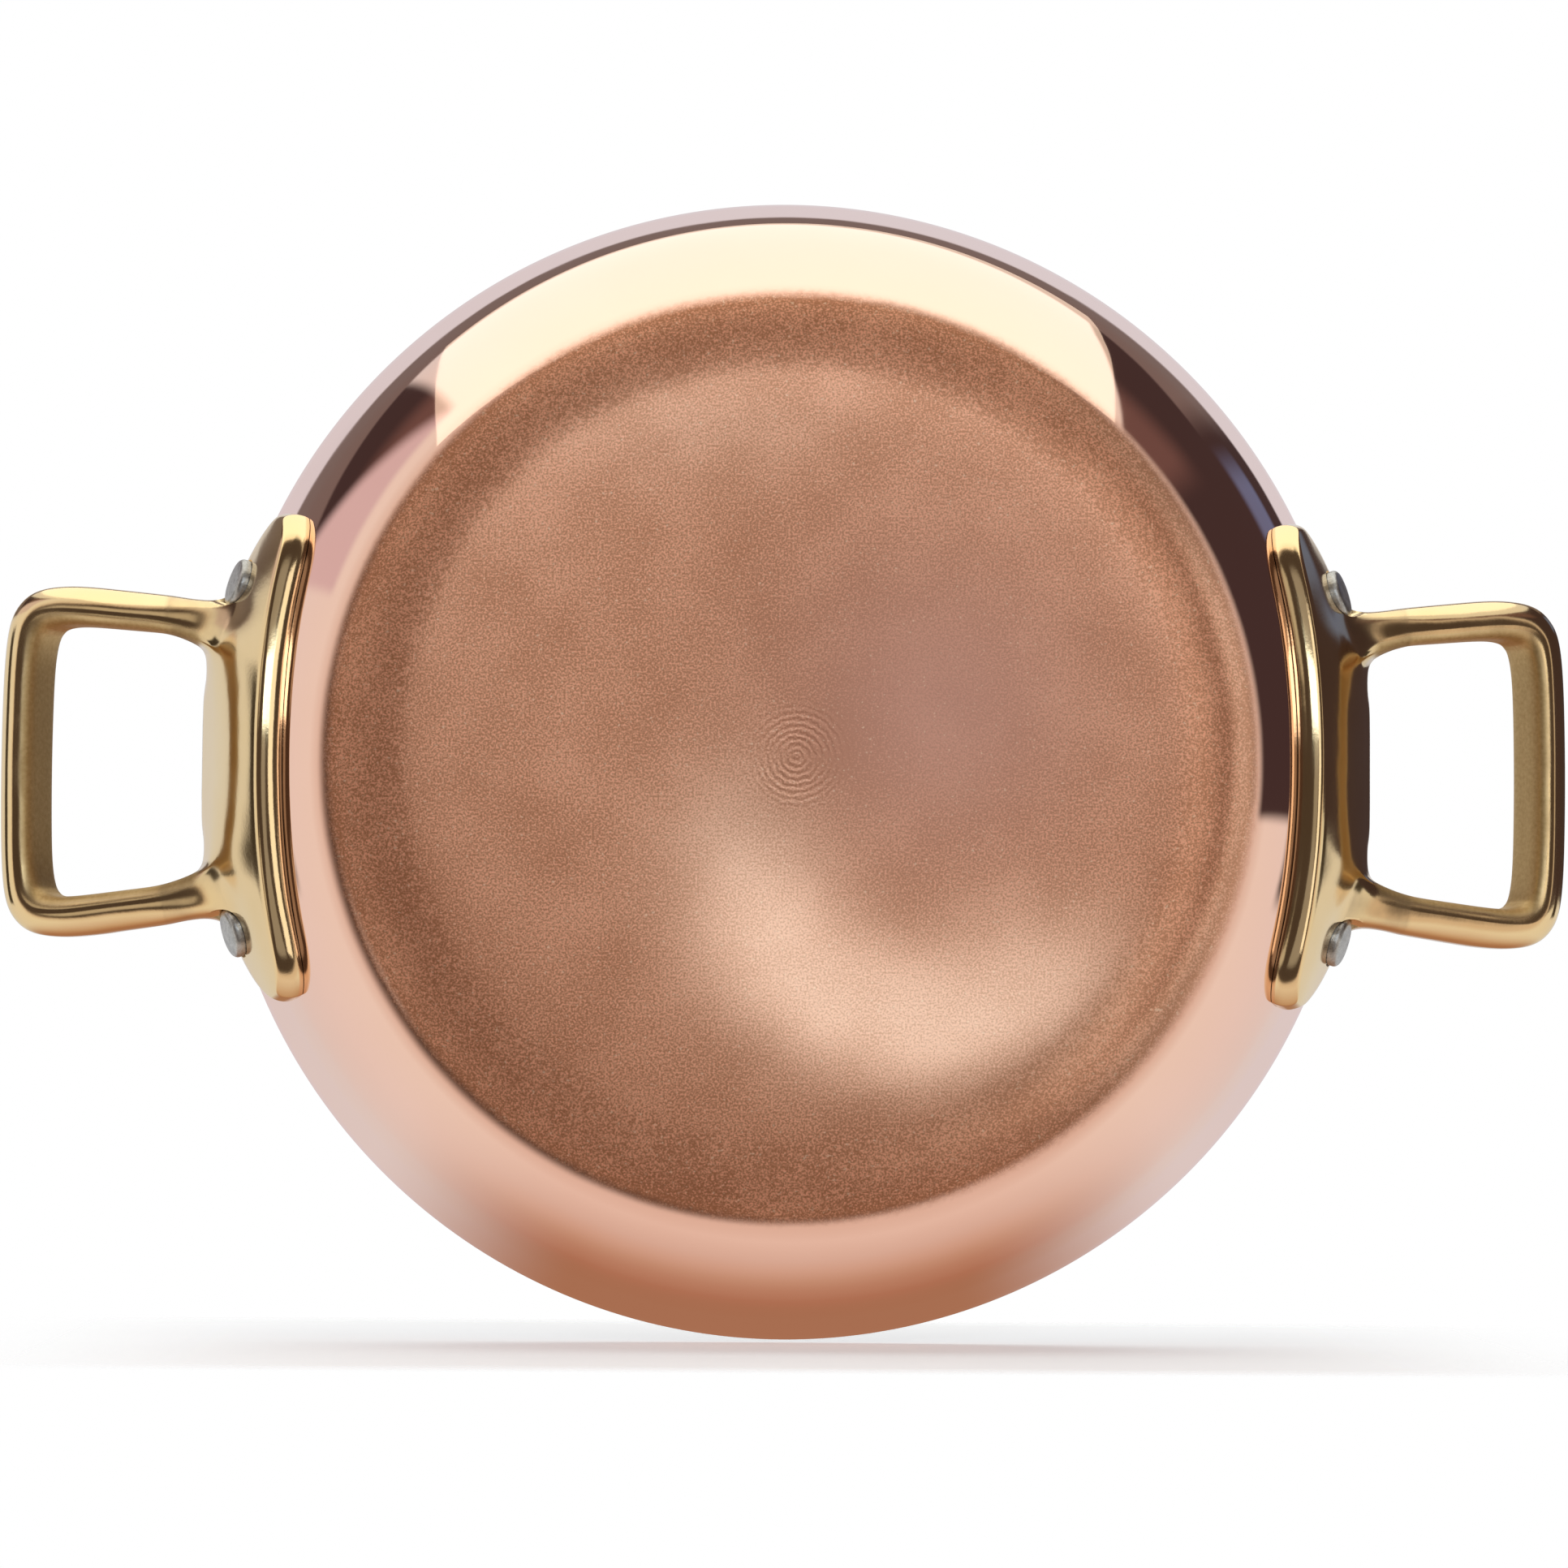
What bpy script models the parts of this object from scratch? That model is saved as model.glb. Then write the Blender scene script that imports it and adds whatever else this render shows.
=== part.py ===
"""Round copper frying pan with two cast brass loop handles.

The pan stands upright on its flat bottom: +Z is up, the pan's own axis is the
Z axis, and the handles lie along -X (left) and +X (right). Lengths are metres.

Pieces: a spun copper body, the stainless skin inside it, two handles and the
four rivets that hold them. Nothing on this pan moves.
"""
import math
from collections import namedtuple

import bmesh
import bpy
from mathutils import Matrix, Vector

# Pan body
RIM_RADIUS = 0.100
PAN_HEIGHT = 0.040
CORNER_RADIUS = 0.032
WALL_FLARE = math.radians(19.0)
COPPER_THICKNESS = 0.0015
LINING_THICKNESS = 0.0004
RIM_EASE = 0.0003

# Flange: the curved foot of a handle, which lies on the wall
FLANGE_LENGTH = 0.0882
FLANGE_THICKNESS = 0.0042
FLANGE_BOTTOM = 0.0088
FLANGE_TOP = 0.0354
FLANGE_TIP_BOTTOM = 0.0140
FLANGE_TIP_TOP = 0.0262
FLANGE_EDGE_INSET = 0.0016
FLANGE_SHOULDER_POWER = 5
FLANGE_TIP_ROUNDING = 0.0034
FLANGE_TIP_SHARPNESS = 24

# Loop: the grip that stands out from the flange and rises as it goes out
LOOP_RISE = math.radians(24.0)
LOOP_LENGTH = 0.0364
LOOP_BOW = 0.0006
LOOP_CORNER_RADIUS = 0.0066
LOOP_CORNER_FILL = 0.0011
ARM_SPLAY = 0.0062
BAR_WIDTH = 0.0070
BAR_DEPTH = 0.0098
ARM_ROOT_WIDTH = 0.0064
ARM_ROOT_DEPTH = 0.0078
ROOT_FILLET_INSIDE = 0.0024
ROOT_FILLET_OUTSIDE = 0.0006
GRIP_EDGE_FULLNESS = 1.12

# Lines of a handle's cage, as shares of the lengths that they divide
FLANGE_LOW_ROWS = (0.0, 0.09, 0.30)
FLANGE_WEB_ROWS = (0.0, 0.0, 0.4, 1.0, 1.0, 1.0)
FLANGE_WEB_COLUMNS = (0.0, 0.40, 0.78)
FLANGE_END_COLUMNS = (0.35, 0.68, 0.90, 1.0)
FLANGE_MIDDLE_LAYER = 0.4
ROOT_STATION = 1.0
ROOT_FLARE = 0.35
ROOT_LEAN = 0.5
ARM_STATIONS = (0.20, 0.36, 0.62, 0.90)
ARM_LEANS = (0.2, 0.0, 0.0, 0.0)
CORNER_STATIONS = (math.radians(68.0), math.radians(45.0), math.radians(22.0))
BAR_STATIONS = (0.86, 0.45, 0.0)

# Which column and row lines bound the patch that an arm grows from
ARM_COLUMNS = (3, 4, 5)
ARM_ROWS = (3, 4, 5)

# Rivets
RIVET_TO_TIP = 0.0153
RIVET_TO_ARM_FACE = 0.0012
RIVET_HEIGHT = 0.0268
RIVET_SHANK_RADIUS = 0.0024
OUTER_HEAD_RADIUS = 0.0043
OUTER_HEAD_HEIGHT = 0.0024
OUTER_HEAD_EASE = 0.0005
INNER_HEAD_RADIUS = 0.0048
INNER_HEAD_HEIGHT = 0.0013
INNER_HEAD_DOME = ((0.93, 0.50), (0.62, 0.86), (0.0, 1.0))
SPOT_FACE_DEPTH = 0.0005

# Clearances between pieces that touch on the real pan
BOND_GAP = 0.0003
FLANGE_GAP = 0.0003
RIVET_GAP = 0.0003

# How finely the curved surfaces are divided
TURN_STEPS = 72
CORNER_STEPS = 8
RIVET_STEPS = 24
BORE_SIDES = 24
HANDLE_SUBDIVISION = 1
MERGE_DISTANCE = 0.00001

# Values that follow from the ones above
NORMAL_TILT = math.pi / 2 - WALL_FLARE
CORNER_TOP = CORNER_RADIUS * (1 - math.cos(NORMAL_TILT))
CONE_RUN = (PAN_HEIGHT - CORNER_TOP) * math.tan(WALL_FLARE)
FLAT_RADIUS = RIM_RADIUS - CONE_RUN - CORNER_RADIUS * math.sin(NORMAL_TILT)
LINING_OFFSET = COPPER_THICKNESS + BOND_GAP
WALL_THICKNESS = LINING_OFFSET + LINING_THICKNESS
RIVET_SPACING = FLANGE_LENGTH - 2 * RIVET_TO_TIP
ARM_GAP_AT_ROOT = RIVET_SPACING - 2 * (RIVET_TO_ARM_FACE + ARM_ROOT_WIDTH)
ARM_GAP_AT_BAR = ARM_GAP_AT_ROOT + ARM_SPLAY
ARM_ROOT_SLANT = math.cos(WALL_FLARE) / math.cos(LOOP_RISE + WALL_FLARE)
ARM_ROOT_REACH = ARM_ROOT_DEPTH / 2 * ARM_ROOT_SLANT
LOOP_ROOT_HEIGHT = FLANGE_TOP - FLANGE_EDGE_INSET - ARM_ROOT_REACH


def clear_scene():
    """Take away whatever the scene holds."""
    for obj in list(bpy.data.objects):
        bpy.data.objects.remove(obj, do_unlink=True)
    for group in list(bpy.data.collections):
        bpy.data.collections.remove(group)


def new_collection(name):
    """Make a collection under the scene's own one."""
    group = bpy.data.collections.new(name)
    bpy.context.scene.collection.children.link(group)
    return group


def new_material(name, colour, roughness, metallic=1.0):
    """Make a plain metal finish."""
    material = bpy.data.materials.new(name)
    material.use_nodes = True
    shader = material.node_tree.nodes["Principled BSDF"]
    shader.inputs["Base Color"].default_value = (*colour, 1.0)
    shader.inputs["Roughness"].default_value = roughness
    shader.inputs["Metallic"].default_value = metallic
    return material


def add_object(name, mesh, collection, material=None):
    """Put a mesh into a collection, with its finish."""
    obj = bpy.data.objects.new(name, mesh)
    collection.objects.link(obj)
    if material is not None:
        mesh.materials.append(material)
    return obj


def mark_as_cutter(obj):
    """A cutter shapes other pieces and isn't part of the pan."""
    obj.hide_render = True
    obj.display_type = "WIRE"
    return obj


def wall_section(height):
    """Radius and normal tilt of the pan's outer surface at a height.

    The tilt is measured from straight down, so it is zero on the flat bottom.
    """
    if height < CORNER_TOP:
        tilt = math.acos(1 - height / CORNER_RADIUS)
        return FLAT_RADIUS + CORNER_RADIUS * math.sin(tilt), tilt
    radius = RIM_RADIUS - (PAN_HEIGHT - height) * math.tan(WALL_FLARE)
    return radius, NORMAL_TILT


def on_wall(turn, height, stand_off):
    """Point that stands off the outer surface, along its normal."""
    radius, tilt = wall_section(height)
    radius += stand_off * math.sin(tilt)
    drop = stand_off * math.cos(tilt)
    return Vector((radius * math.cos(turn), radius * math.sin(turn), height - drop))


def skin_profile(depth):
    """Half section of a skin that lies a depth inside the outer surface, rim to axis."""
    rim_radius = RIM_RADIUS - depth / math.cos(WALL_FLARE)
    points = [(rim_radius, PAN_HEIGHT)]
    inner_radius = CORNER_RADIUS - depth
    for step in range(CORNER_STEPS, -1, -1):
        tilt = NORMAL_TILT * step / CORNER_STEPS
        radius = FLAT_RADIUS + inner_radius * math.sin(tilt)
        points.append((radius, CORNER_RADIUS - inner_radius * math.cos(tilt)))
    points.append((0.0, depth))
    return points


def eased_rim(profile, ease):
    """Take the sharp corner off the rim end of a skin's profile."""
    radius, height = profile[0]
    next_radius, next_height = profile[1]
    run = Vector((next_radius - radius, next_height - height)).normalized() * ease
    return [(radius + run.x, height + run.y)] + profile[1:]


def shell_profile(outer_depth, inner_depth):
    """Closed half section between two depths: up the inside, over the rim, down the outside."""
    outer = skin_profile(outer_depth)
    inner = skin_profile(inner_depth)
    rim = [(outer[0][0] - RIM_EASE, PAN_HEIGHT)]
    return inner[::-1] + rim + eased_rim(outer, RIM_EASE)


def turned_object(name, profile, steps, collection, material=None):
    """Turn a half section round the Z axis."""
    mesh = bpy.data.meshes.new(name)
    vertices = [(radius, 0.0, height) for radius, height in profile]
    edges = [(index, index + 1) for index in range(len(profile) - 1)]
    mesh.from_pydata(vertices, edges, [])
    obj = add_object(name, mesh, collection, material)
    screw = obj.modifiers.new("turn", "SCREW")
    screw.axis = "Z"
    screw.steps = steps
    screw.render_steps = steps
    screw.use_merge_vertices = True
    screw.merge_threshold = MERGE_DISTANCE
    screw.use_smooth_shade = True
    return obj


def cut(obj, cutter):
    """Take the cutter's shape out of a piece."""
    boolean = obj.modifiers.new("cut_" + cutter.name, "BOOLEAN")
    boolean.operation = "DIFFERENCE"
    boolean.solver = "EXACT"
    boolean.object = cutter


def flange_columns():
    """Distances from the handle's middle plane to the flange's column lines."""
    arm_inner = ARM_GAP_AT_ROOT / 2 - ROOT_FILLET_INSIDE
    arm_outer = ARM_GAP_AT_ROOT / 2 + ARM_ROOT_WIDTH + ROOT_FILLET_OUTSIDE
    tip = FLANGE_LENGTH / 2
    beyond = tip - arm_outer
    web = [arm_inner * share for share in FLANGE_WEB_COLUMNS]
    arm = [arm_inner, (arm_inner + arm_outer) / 2, arm_outer]
    end = [arm_outer + beyond * share for share in FLANGE_END_COLUMNS]
    return web + arm + end


def flange_rows():
    """Shares of the flange's height at which its row lines run, up to the top of the arms."""
    lowest = FLANGE_BOTTOM + FLANGE_EDGE_INSET
    highest = FLANGE_TOP - FLANGE_EDGE_INSET
    heights = [LOOP_ROOT_HEIGHT - ARM_ROOT_REACH, LOOP_ROOT_HEIGHT]
    shares = [(height - lowest) / (highest - lowest) for height in heights]
    return list(FLANGE_LOW_ROWS) + shares + [1.0]


def web_thickness(across):
    """Extra metal between the arms, which makes the loop's inner side straight."""
    face_radius = wall_section(LOOP_ROOT_HEIGHT)[0] + FLANGE_THICKNESS
    arm_inner = ARM_GAP_AT_ROOT / 2
    arm_outer = arm_inner + ARM_ROOT_WIDTH
    straight = min(across, arm_inner)
    fade = min(1.0, max(0.0, (arm_outer - across) / ARM_ROOT_WIDTH))
    return face_radius * (1 / math.cos(math.asin(straight / face_radius)) - 1) * fade


def flange_point(across, row, stand_off, inset):
    """Point of the flange, from its distance off the middle plane and its row share."""
    face_radius = wall_section(RIVET_HEIGHT)[0] + FLANGE_THICKNESS
    share = across / (FLANGE_LENGTH / 2)
    rounding = inset + FLANGE_TIP_ROUNDING * share ** FLANGE_TIP_SHARPNESS
    low = FLANGE_BOTTOM + (FLANGE_TIP_BOTTOM - FLANGE_BOTTOM) * share ** 2
    high = FLANGE_TOP + (FLANGE_TIP_TOP - FLANGE_TOP) * share ** FLANGE_SHOULDER_POWER
    height = low + rounding + (high - low - 2 * rounding) * row
    turn = math.asin((across - inset * share) / face_radius)
    return on_wall(turn, height, stand_off)


def loop_frame():
    """Origin and axes of the loop's own plane: outwards, across and up through it."""
    face_radius = wall_section(LOOP_ROOT_HEIGHT)[0] + FLANGE_THICKNESS
    origin = Vector((face_radius, 0.0, LOOP_ROOT_HEIGHT))
    outwards = Vector((math.cos(LOOP_RISE), 0.0, math.sin(LOOP_RISE)))
    upwards = Vector((-math.sin(LOOP_RISE), 0.0, math.cos(LOOP_RISE)))
    return origin, outwards, Vector((0.0, 1.0, 0.0)), upwards


# One ring of the loop, in the loop's plane: fill is extra metal on the inner side, and lean
# is how far the ring follows the slope of the wall instead of standing square to the arm
Ring = namedtuple("Ring", "centre heading width depth fill lean", defaults=(0.0, 0.0))


def loop_stations():
    """Rings along half of the loop, from the flange round the corner to the middle plane."""
    root_across = (ARM_GAP_AT_ROOT + ARM_ROOT_WIDTH) / 2
    bar_across = (ARM_GAP_AT_BAR + BAR_WIDTH) / 2
    corner_out = LOOP_LENGTH - LOOP_CORNER_RADIUS
    corner_across = bar_across - LOOP_CORNER_RADIUS
    arm_heading = Vector((corner_out, bar_across - root_across)).normalized()
    near_face = Vector((ROOT_FILLET_INSIDE * ROOT_STATION, root_across))
    flare = ROOT_FILLET_INSIDE * ROOT_FLARE
    rings = [Ring(near_face, arm_heading, ARM_ROOT_WIDTH, ARM_ROOT_DEPTH, flare, ROOT_LEAN)]
    for share, lean in zip(ARM_STATIONS, ARM_LEANS):
        centre = Vector((corner_out * share, root_across + (bar_across - root_across) * share))
        width = ARM_ROOT_WIDTH + (BAR_WIDTH - ARM_ROOT_WIDTH) * share
        depth = ARM_ROOT_DEPTH + (BAR_DEPTH - ARM_ROOT_DEPTH) * share
        rings.append(Ring(centre, arm_heading, width, depth, lean=lean))
    for swing in CORNER_STATIONS:
        spoke = Vector((math.cos(swing), math.sin(swing)))
        centre = Vector((corner_out, corner_across)) + spoke * LOOP_CORNER_RADIUS
        fill = LOOP_CORNER_FILL * math.sin(2 * swing)
        rings.append(Ring(centre, Vector((spoke.y, -spoke.x)), BAR_WIDTH, BAR_DEPTH, fill))
    for share in BAR_STATIONS:
        centre = Vector((LOOP_LENGTH + LOOP_BOW * (1 - share ** 2), corner_across * share))
        rings.append(Ring(centre, Vector((0.0, -1.0)), BAR_WIDTH, BAR_DEPTH))
    return rings


def place_ring(cap, ring):
    """Move the nine points of an extruded cap to one ring of the loop."""
    origin, outwards, across, upwards = loop_frame()
    side = Vector((-ring.heading.y, ring.heading.x))
    slope = math.tan(LOOP_RISE + WALL_FLARE) * ring.lean
    for (column, row), vertex in cap.items():
        fullness = GRIP_EDGE_FULLNESS if column == 0 and row != 1 else 1.0
        inwards = ring.fill if column == 0 else 0.0
        lift = ring.depth * (row - 1) / 2 * fullness
        flat = ring.centre + side * (ring.width * (column - 1) / 2 * fullness - inwards)
        flat += ring.heading * lift * slope
        vertex.co = origin + outwards * flat.x + across * flat.y + upwards * lift


def extrude_faces(bm, faces):
    """Extrude joined faces in place, and give the new faces."""
    edges = {edge for face in faces for edge in face.edges}
    vertices = {vertex for face in faces for vertex in face.verts}
    region = list(faces) + list(edges) + list(vertices)
    result = bmesh.ops.extrude_face_region(bm, geom=region)
    return [item for item in result["geom"] if isinstance(item, bmesh.types.BMFace)]


def by_place(faces):
    """Look up the vertices of some faces by where they are."""
    return {tuple(vertex.co): vertex for face in faces for vertex in face.verts}


def build_handle_mesh():
    """Half of a handle as a coarse cage, open on its middle plane."""
    columns = flange_columns()
    rows = flange_rows()
    bm = bmesh.new()
    bmesh.ops.create_grid(bm, x_segments=len(columns) - 1, y_segments=len(rows) - 1, size=1.0)
    bm.verts.ensure_lookup_table()
    order = sorted(bm.verts, key=lambda vertex: (round(vertex.co.x, 4), round(vertex.co.y, 4)))
    grid = {}
    for index, vertex in enumerate(order):
        grid[index // len(rows), index % len(rows)] = vertex
    buried = -COPPER_THICKNESS / 2
    middle = FLANGE_THICKNESS * FLANGE_MIDDLE_LAYER
    layers = ((buried, 0.0), (middle, 0.0), (FLANGE_THICKNESS, FLANGE_EDGE_INSET))
    faces = list(bm.faces)
    for layer, (stand_off, inset) in enumerate(layers):
        if layer:
            before = {key: tuple(vertex.co) for key, vertex in grid.items()}
            faces = extrude_faces(bm, faces)
            places = by_place(faces)
            grid = {key: places[place] for key, place in before.items()}
        for (column, row), vertex in grid.items():
            web = web_thickness(columns[column]) * FLANGE_WEB_ROWS[row] if inset else 0.0
            vertex.co = flange_point(columns[column], rows[row], stand_off + web, inset)
    patch = {(column - ARM_COLUMNS[0], row - ARM_ROWS[0]): grid[column, row]
             for column in ARM_COLUMNS for row in ARM_ROWS}
    roots = set(patch.values())
    faces = [face for face in faces if roots.issuperset(face.verts)]
    for ring in loop_stations():
        before = {key: tuple(vertex.co) for key, vertex in patch.items()}
        faces = extrude_faces(bm, faces)
        places = by_place(faces)
        patch = {key: places[place] for key, place in before.items()}
        place_ring(patch, ring)
    on_plane = [face for face in bm.faces
                if all(abs(vertex.co.y) < MERGE_DISTANCE for vertex in face.verts)]
    bmesh.ops.delete(bm, geom=on_plane, context="FACES")
    bmesh.ops.recalc_face_normals(bm, faces=bm.faces)
    mesh = bpy.data.meshes.new("handle")
    bm.to_mesh(mesh)
    bm.free()
    mesh.shade_smooth()
    return mesh


def add_handle(name, mesh, turn, collection):
    """Place one handle by turning it round the pan's axis."""
    obj = bpy.data.objects.new(name, mesh)
    collection.objects.link(obj)
    obj.rotation_euler = (0.0, 0.0, turn)
    mirror = obj.modifiers.new("other_half", "MIRROR")
    mirror.use_axis = (False, True, False)
    mirror.use_clip = True
    mirror.merge_threshold = MERGE_DISTANCE
    smooth = obj.modifiers.new("cast_form", "SUBSURF")
    smooth.levels = HANDLE_SUBDIVISION
    smooth.render_levels = HANDLE_SUBDIVISION
    obj.modifiers.new("flat_facets_for_the_cuts", "TRIANGULATE")
    return obj


def rivet_axes():
    """Name, place and outward direction of each rivet, on the pan's outer surface."""
    radius, tilt = wall_section(RIVET_HEIGHT)
    swing = math.asin(RIVET_SPACING / 2 / radius)
    axes = []
    for side, base in (("left", math.pi), ("right", 0.0)):
        facing = 1 if side == "right" else -1
        for end, sign in (("front", -1), ("back", 1)):
            turn = base + sign * facing * swing
            place = Vector((radius * math.cos(turn), radius * math.sin(turn), RIVET_HEIGHT))
            direction = Vector((math.sin(tilt) * math.cos(turn), math.sin(tilt) * math.sin(turn),
                                -math.cos(tilt)))
            axes.append((side, end, place, direction))
    return axes


def rivet_seats():
    """Distances along a rivet from the pan's outer surface to the seats of its two heads."""
    wall_radius = wall_section(RIVET_HEIGHT)[0]
    hollow = INNER_HEAD_RADIUS ** 2 / (2 * wall_radius)
    outer_seat = FLANGE_THICKNESS - SPOT_FACE_DEPTH + RIVET_GAP
    inner_seat = -(WALL_THICKNESS + RIVET_GAP + hollow)
    return outer_seat, inner_seat


def rivet_profile():
    """Half section of a rivet along its own axis, outer head first."""
    outer_seat, inner_seat = rivet_seats()
    top = outer_seat + OUTER_HEAD_HEIGHT
    dome = [(INNER_HEAD_RADIUS * out, inner_seat - INNER_HEAD_HEIGHT * share)
            for out, share in INNER_HEAD_DOME]
    return [
        (0.0, top),
        (OUTER_HEAD_RADIUS - OUTER_HEAD_EASE, top),
        (OUTER_HEAD_RADIUS, top - OUTER_HEAD_EASE),
        (OUTER_HEAD_RADIUS, outer_seat),
        (RIVET_SHANK_RADIUS, outer_seat),
        (RIVET_SHANK_RADIUS, inner_seat),
        (INNER_HEAD_RADIUS, inner_seat),
    ] + dome


def along(place, direction):
    """World matrix that stands an object's Z axis on a place, along a direction."""
    return Matrix.Translation(place) @ direction.to_track_quat("Z", "X").to_matrix().to_4x4()


def rivet_cutter(name, collection):
    """Drill for one rivet: the shank's hole and, outside it, the flat seat of the head."""
    outer_seat, inner_seat = rivet_seats()
    bore_radius = RIVET_SHANK_RADIUS + RIVET_GAP
    spot_radius = OUTER_HEAD_RADIUS + RIVET_GAP
    spot_floor = outer_seat - RIVET_GAP
    top = outer_seat + BAR_DEPTH
    profile = [(0.0, top), (spot_radius, top), (spot_radius, spot_floor),
               (bore_radius, spot_floor), (bore_radius, inner_seat), (0.0, inner_seat)]
    return mark_as_cutter(turned_object(name, profile, BORE_SIDES, collection))


def wall_cutter(collection):
    """Solid as big as the pan's outer surface and the gap that a flange keeps to it."""
    outer = skin_profile(-FLANGE_GAP)
    profile = [(0.0, PAN_HEIGHT)] + outer
    return mark_as_cutter(turned_object("cutter_wall", profile, TURN_STEPS, collection))


def build_pan():
    """Build every piece of the pan."""
    clear_scene()
    parts = new_collection("copper_frying_pan")
    cutters = new_collection("cutters")
    copper = new_material("polished_copper", (0.84, 0.50, 0.38), 0.12)
    steel = new_material("brushed_stainless", (0.62, 0.61, 0.60), 0.30)
    brass = new_material("polished_brass", (0.80, 0.60, 0.28), 0.14)
    rivet_metal = new_material("rivet_steel", (0.50, 0.49, 0.48), 0.38)

    body = turned_object("copper_body", shell_profile(0.0, COPPER_THICKNESS),
                         TURN_STEPS, parts, copper)
    lining = turned_object("stainless_lining", shell_profile(LINING_OFFSET, WALL_THICKNESS),
                           TURN_STEPS, parts, steel)

    handle_mesh = build_handle_mesh()
    handle_mesh.materials.append(brass)
    handles = {
        "left": add_handle("handle_left", handle_mesh, math.pi, parts),
        "right": add_handle("handle_right", handle_mesh, 0.0, parts),
    }
    wall = wall_cutter(cutters)
    for handle in handles.values():
        cut(handle, wall)

    for side, end, place, direction in rivet_axes():
        label = side + "_" + end
        rivet = turned_object("rivet_" + label, rivet_profile(), RIVET_STEPS, parts, rivet_metal)
        drill = rivet_cutter("cutter_rivet_" + label, cutters)
        for obj in (rivet, drill):
            obj.matrix_world = along(place, direction)
        for piece in (body, lining, handles[side]):
            cut(piece, drill)


build_pan()
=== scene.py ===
# %% [markdown]
# # A copper frying pan, dressed for its picture
# The solids of this pan come from a packed model: it says where every piece is and how big it is.
# This script builds the looks round it, piece by piece: a finer mesh for each piece, a finish for
# each metal, and the small studio in which the pan is seen. Lengths are metres and +Z is up, so the
# pan stands on its flat bottom. The photograph looks at that bottom from below.

# %% Load the fixed frame
import math
from collections import namedtuple

import bmesh
import bpy
from mathutils import Matrix, Vector


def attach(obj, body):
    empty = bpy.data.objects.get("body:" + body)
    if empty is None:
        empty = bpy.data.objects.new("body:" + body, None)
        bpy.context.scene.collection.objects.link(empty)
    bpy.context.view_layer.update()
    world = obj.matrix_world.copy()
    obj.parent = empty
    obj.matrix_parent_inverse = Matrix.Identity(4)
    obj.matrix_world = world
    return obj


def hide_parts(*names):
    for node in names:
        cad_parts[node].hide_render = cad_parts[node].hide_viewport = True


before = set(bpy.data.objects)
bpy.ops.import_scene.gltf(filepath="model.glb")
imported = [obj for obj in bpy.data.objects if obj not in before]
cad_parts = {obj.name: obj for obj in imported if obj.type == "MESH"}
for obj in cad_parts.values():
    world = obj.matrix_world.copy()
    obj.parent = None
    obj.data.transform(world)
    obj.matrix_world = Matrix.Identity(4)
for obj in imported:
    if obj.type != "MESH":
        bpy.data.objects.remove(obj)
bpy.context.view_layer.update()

print("solids:", len(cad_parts))

# %% [markdown]
# ## The view of the photograph
# The pan leans on its rim with its underside to the camera. In the pan's own frame that is a camera
# far below it that looks up along the Z axis, with -Y at the top of the picture. It stands a little
# to one side and a little high, and it is turned by half a degree, as hand-held product shots are.

# %% Camera below the pan
PHOTO_SIDE = 1932
RIM_CENTRE = Vector((0.0, 0.0, 0.040))
CAMERA_DISTANCE = 0.84
CAMERA_RISE = math.radians(3.5)
CAMERA_SIDESTEP = math.radians(1.45)
CAMERA_ROLL = math.radians(0.45)
FOCAL_PIXELS = 5888
SENSOR_WIDTH = 36.0
PICTURED_RIM_CENTRE = (969.4, 946.5)


def add_camera():
    """Put the camera where the photograph was taken from."""
    away = Vector((-math.sin(CAMERA_SIDESTEP), math.sin(CAMERA_RISE),
                   -math.cos(CAMERA_RISE) * math.cos(CAMERA_SIDESTEP))).normalized()
    up = Vector((0.0, -1.0, 0.0))
    up = (up - away * up.dot(away)).normalized()
    right = up.cross(away)
    data = bpy.data.cameras.new("photo_camera")
    data.sensor_width = SENSOR_WIDTH
    data.lens = FOCAL_PIXELS / PHOTO_SIDE * SENSOR_WIDTH
    data.shift_x = -(PICTURED_RIM_CENTRE[0] - PHOTO_SIDE / 2) / PHOTO_SIDE
    data.shift_y = (PICTURED_RIM_CENTRE[1] - PHOTO_SIDE / 2) / PHOTO_SIDE
    camera = bpy.data.objects.new("photo_camera", data)
    bpy.context.scene.collection.objects.link(camera)
    axes = Matrix((right, up, away)).transposed().to_4x4()
    axes.translation = RIM_CENTRE + away * CAMERA_DISTANCE
    camera.matrix_world = axes @ Matrix.Rotation(CAMERA_ROLL, 4, "Z")
    bpy.context.scene.camera = camera
    print("camera lens in mm:", round(data.lens, 1))


add_camera()

# %% [markdown]
# ## The pan's section
# A spun pan is the same all the way round, so one half section says everything: a flat bottom, a
# round corner and a flared wall. Each skin of the pan is that section, moved inwards by its depth.
# The measures are those of the solids, so that the finer meshes lie exactly where the solids do.

# %% Measures of the body
RIM_RADIUS = 0.100
PAN_HEIGHT = 0.040
CORNER_RADIUS = 0.032
WALL_FLARE = math.radians(19.0)
COPPER_THICKNESS = 0.0015
LINING_THICKNESS = 0.0004
BOND_GAP = 0.0003
RIM_EASE = 0.00045
WELD = 0.00001

NORMAL_TILT = math.pi / 2 - WALL_FLARE
CORNER_TOP = CORNER_RADIUS * (1 - math.cos(NORMAL_TILT))
CONE_RUN = (PAN_HEIGHT - CORNER_TOP) * math.tan(WALL_FLARE)
FLAT_RADIUS = RIM_RADIUS - CONE_RUN - CORNER_RADIUS * math.sin(NORMAL_TILT)
LINING_DEPTH = COPPER_THICKNESS + BOND_GAP
WALL_THICKNESS = LINING_DEPTH + LINING_THICKNESS
print("flat bottom across in mm:", round(FLAT_RADIUS * 2000, 1))

# %% Skins at any depth
CORNER_STEPS = 36
WALL_STEPS = 6
BOTTOM_RINGS = (0.985, 0.95, 0.88, 0.76, 0.60, 0.44, 0.30, 0.18, 0.09, 0.04)


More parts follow.
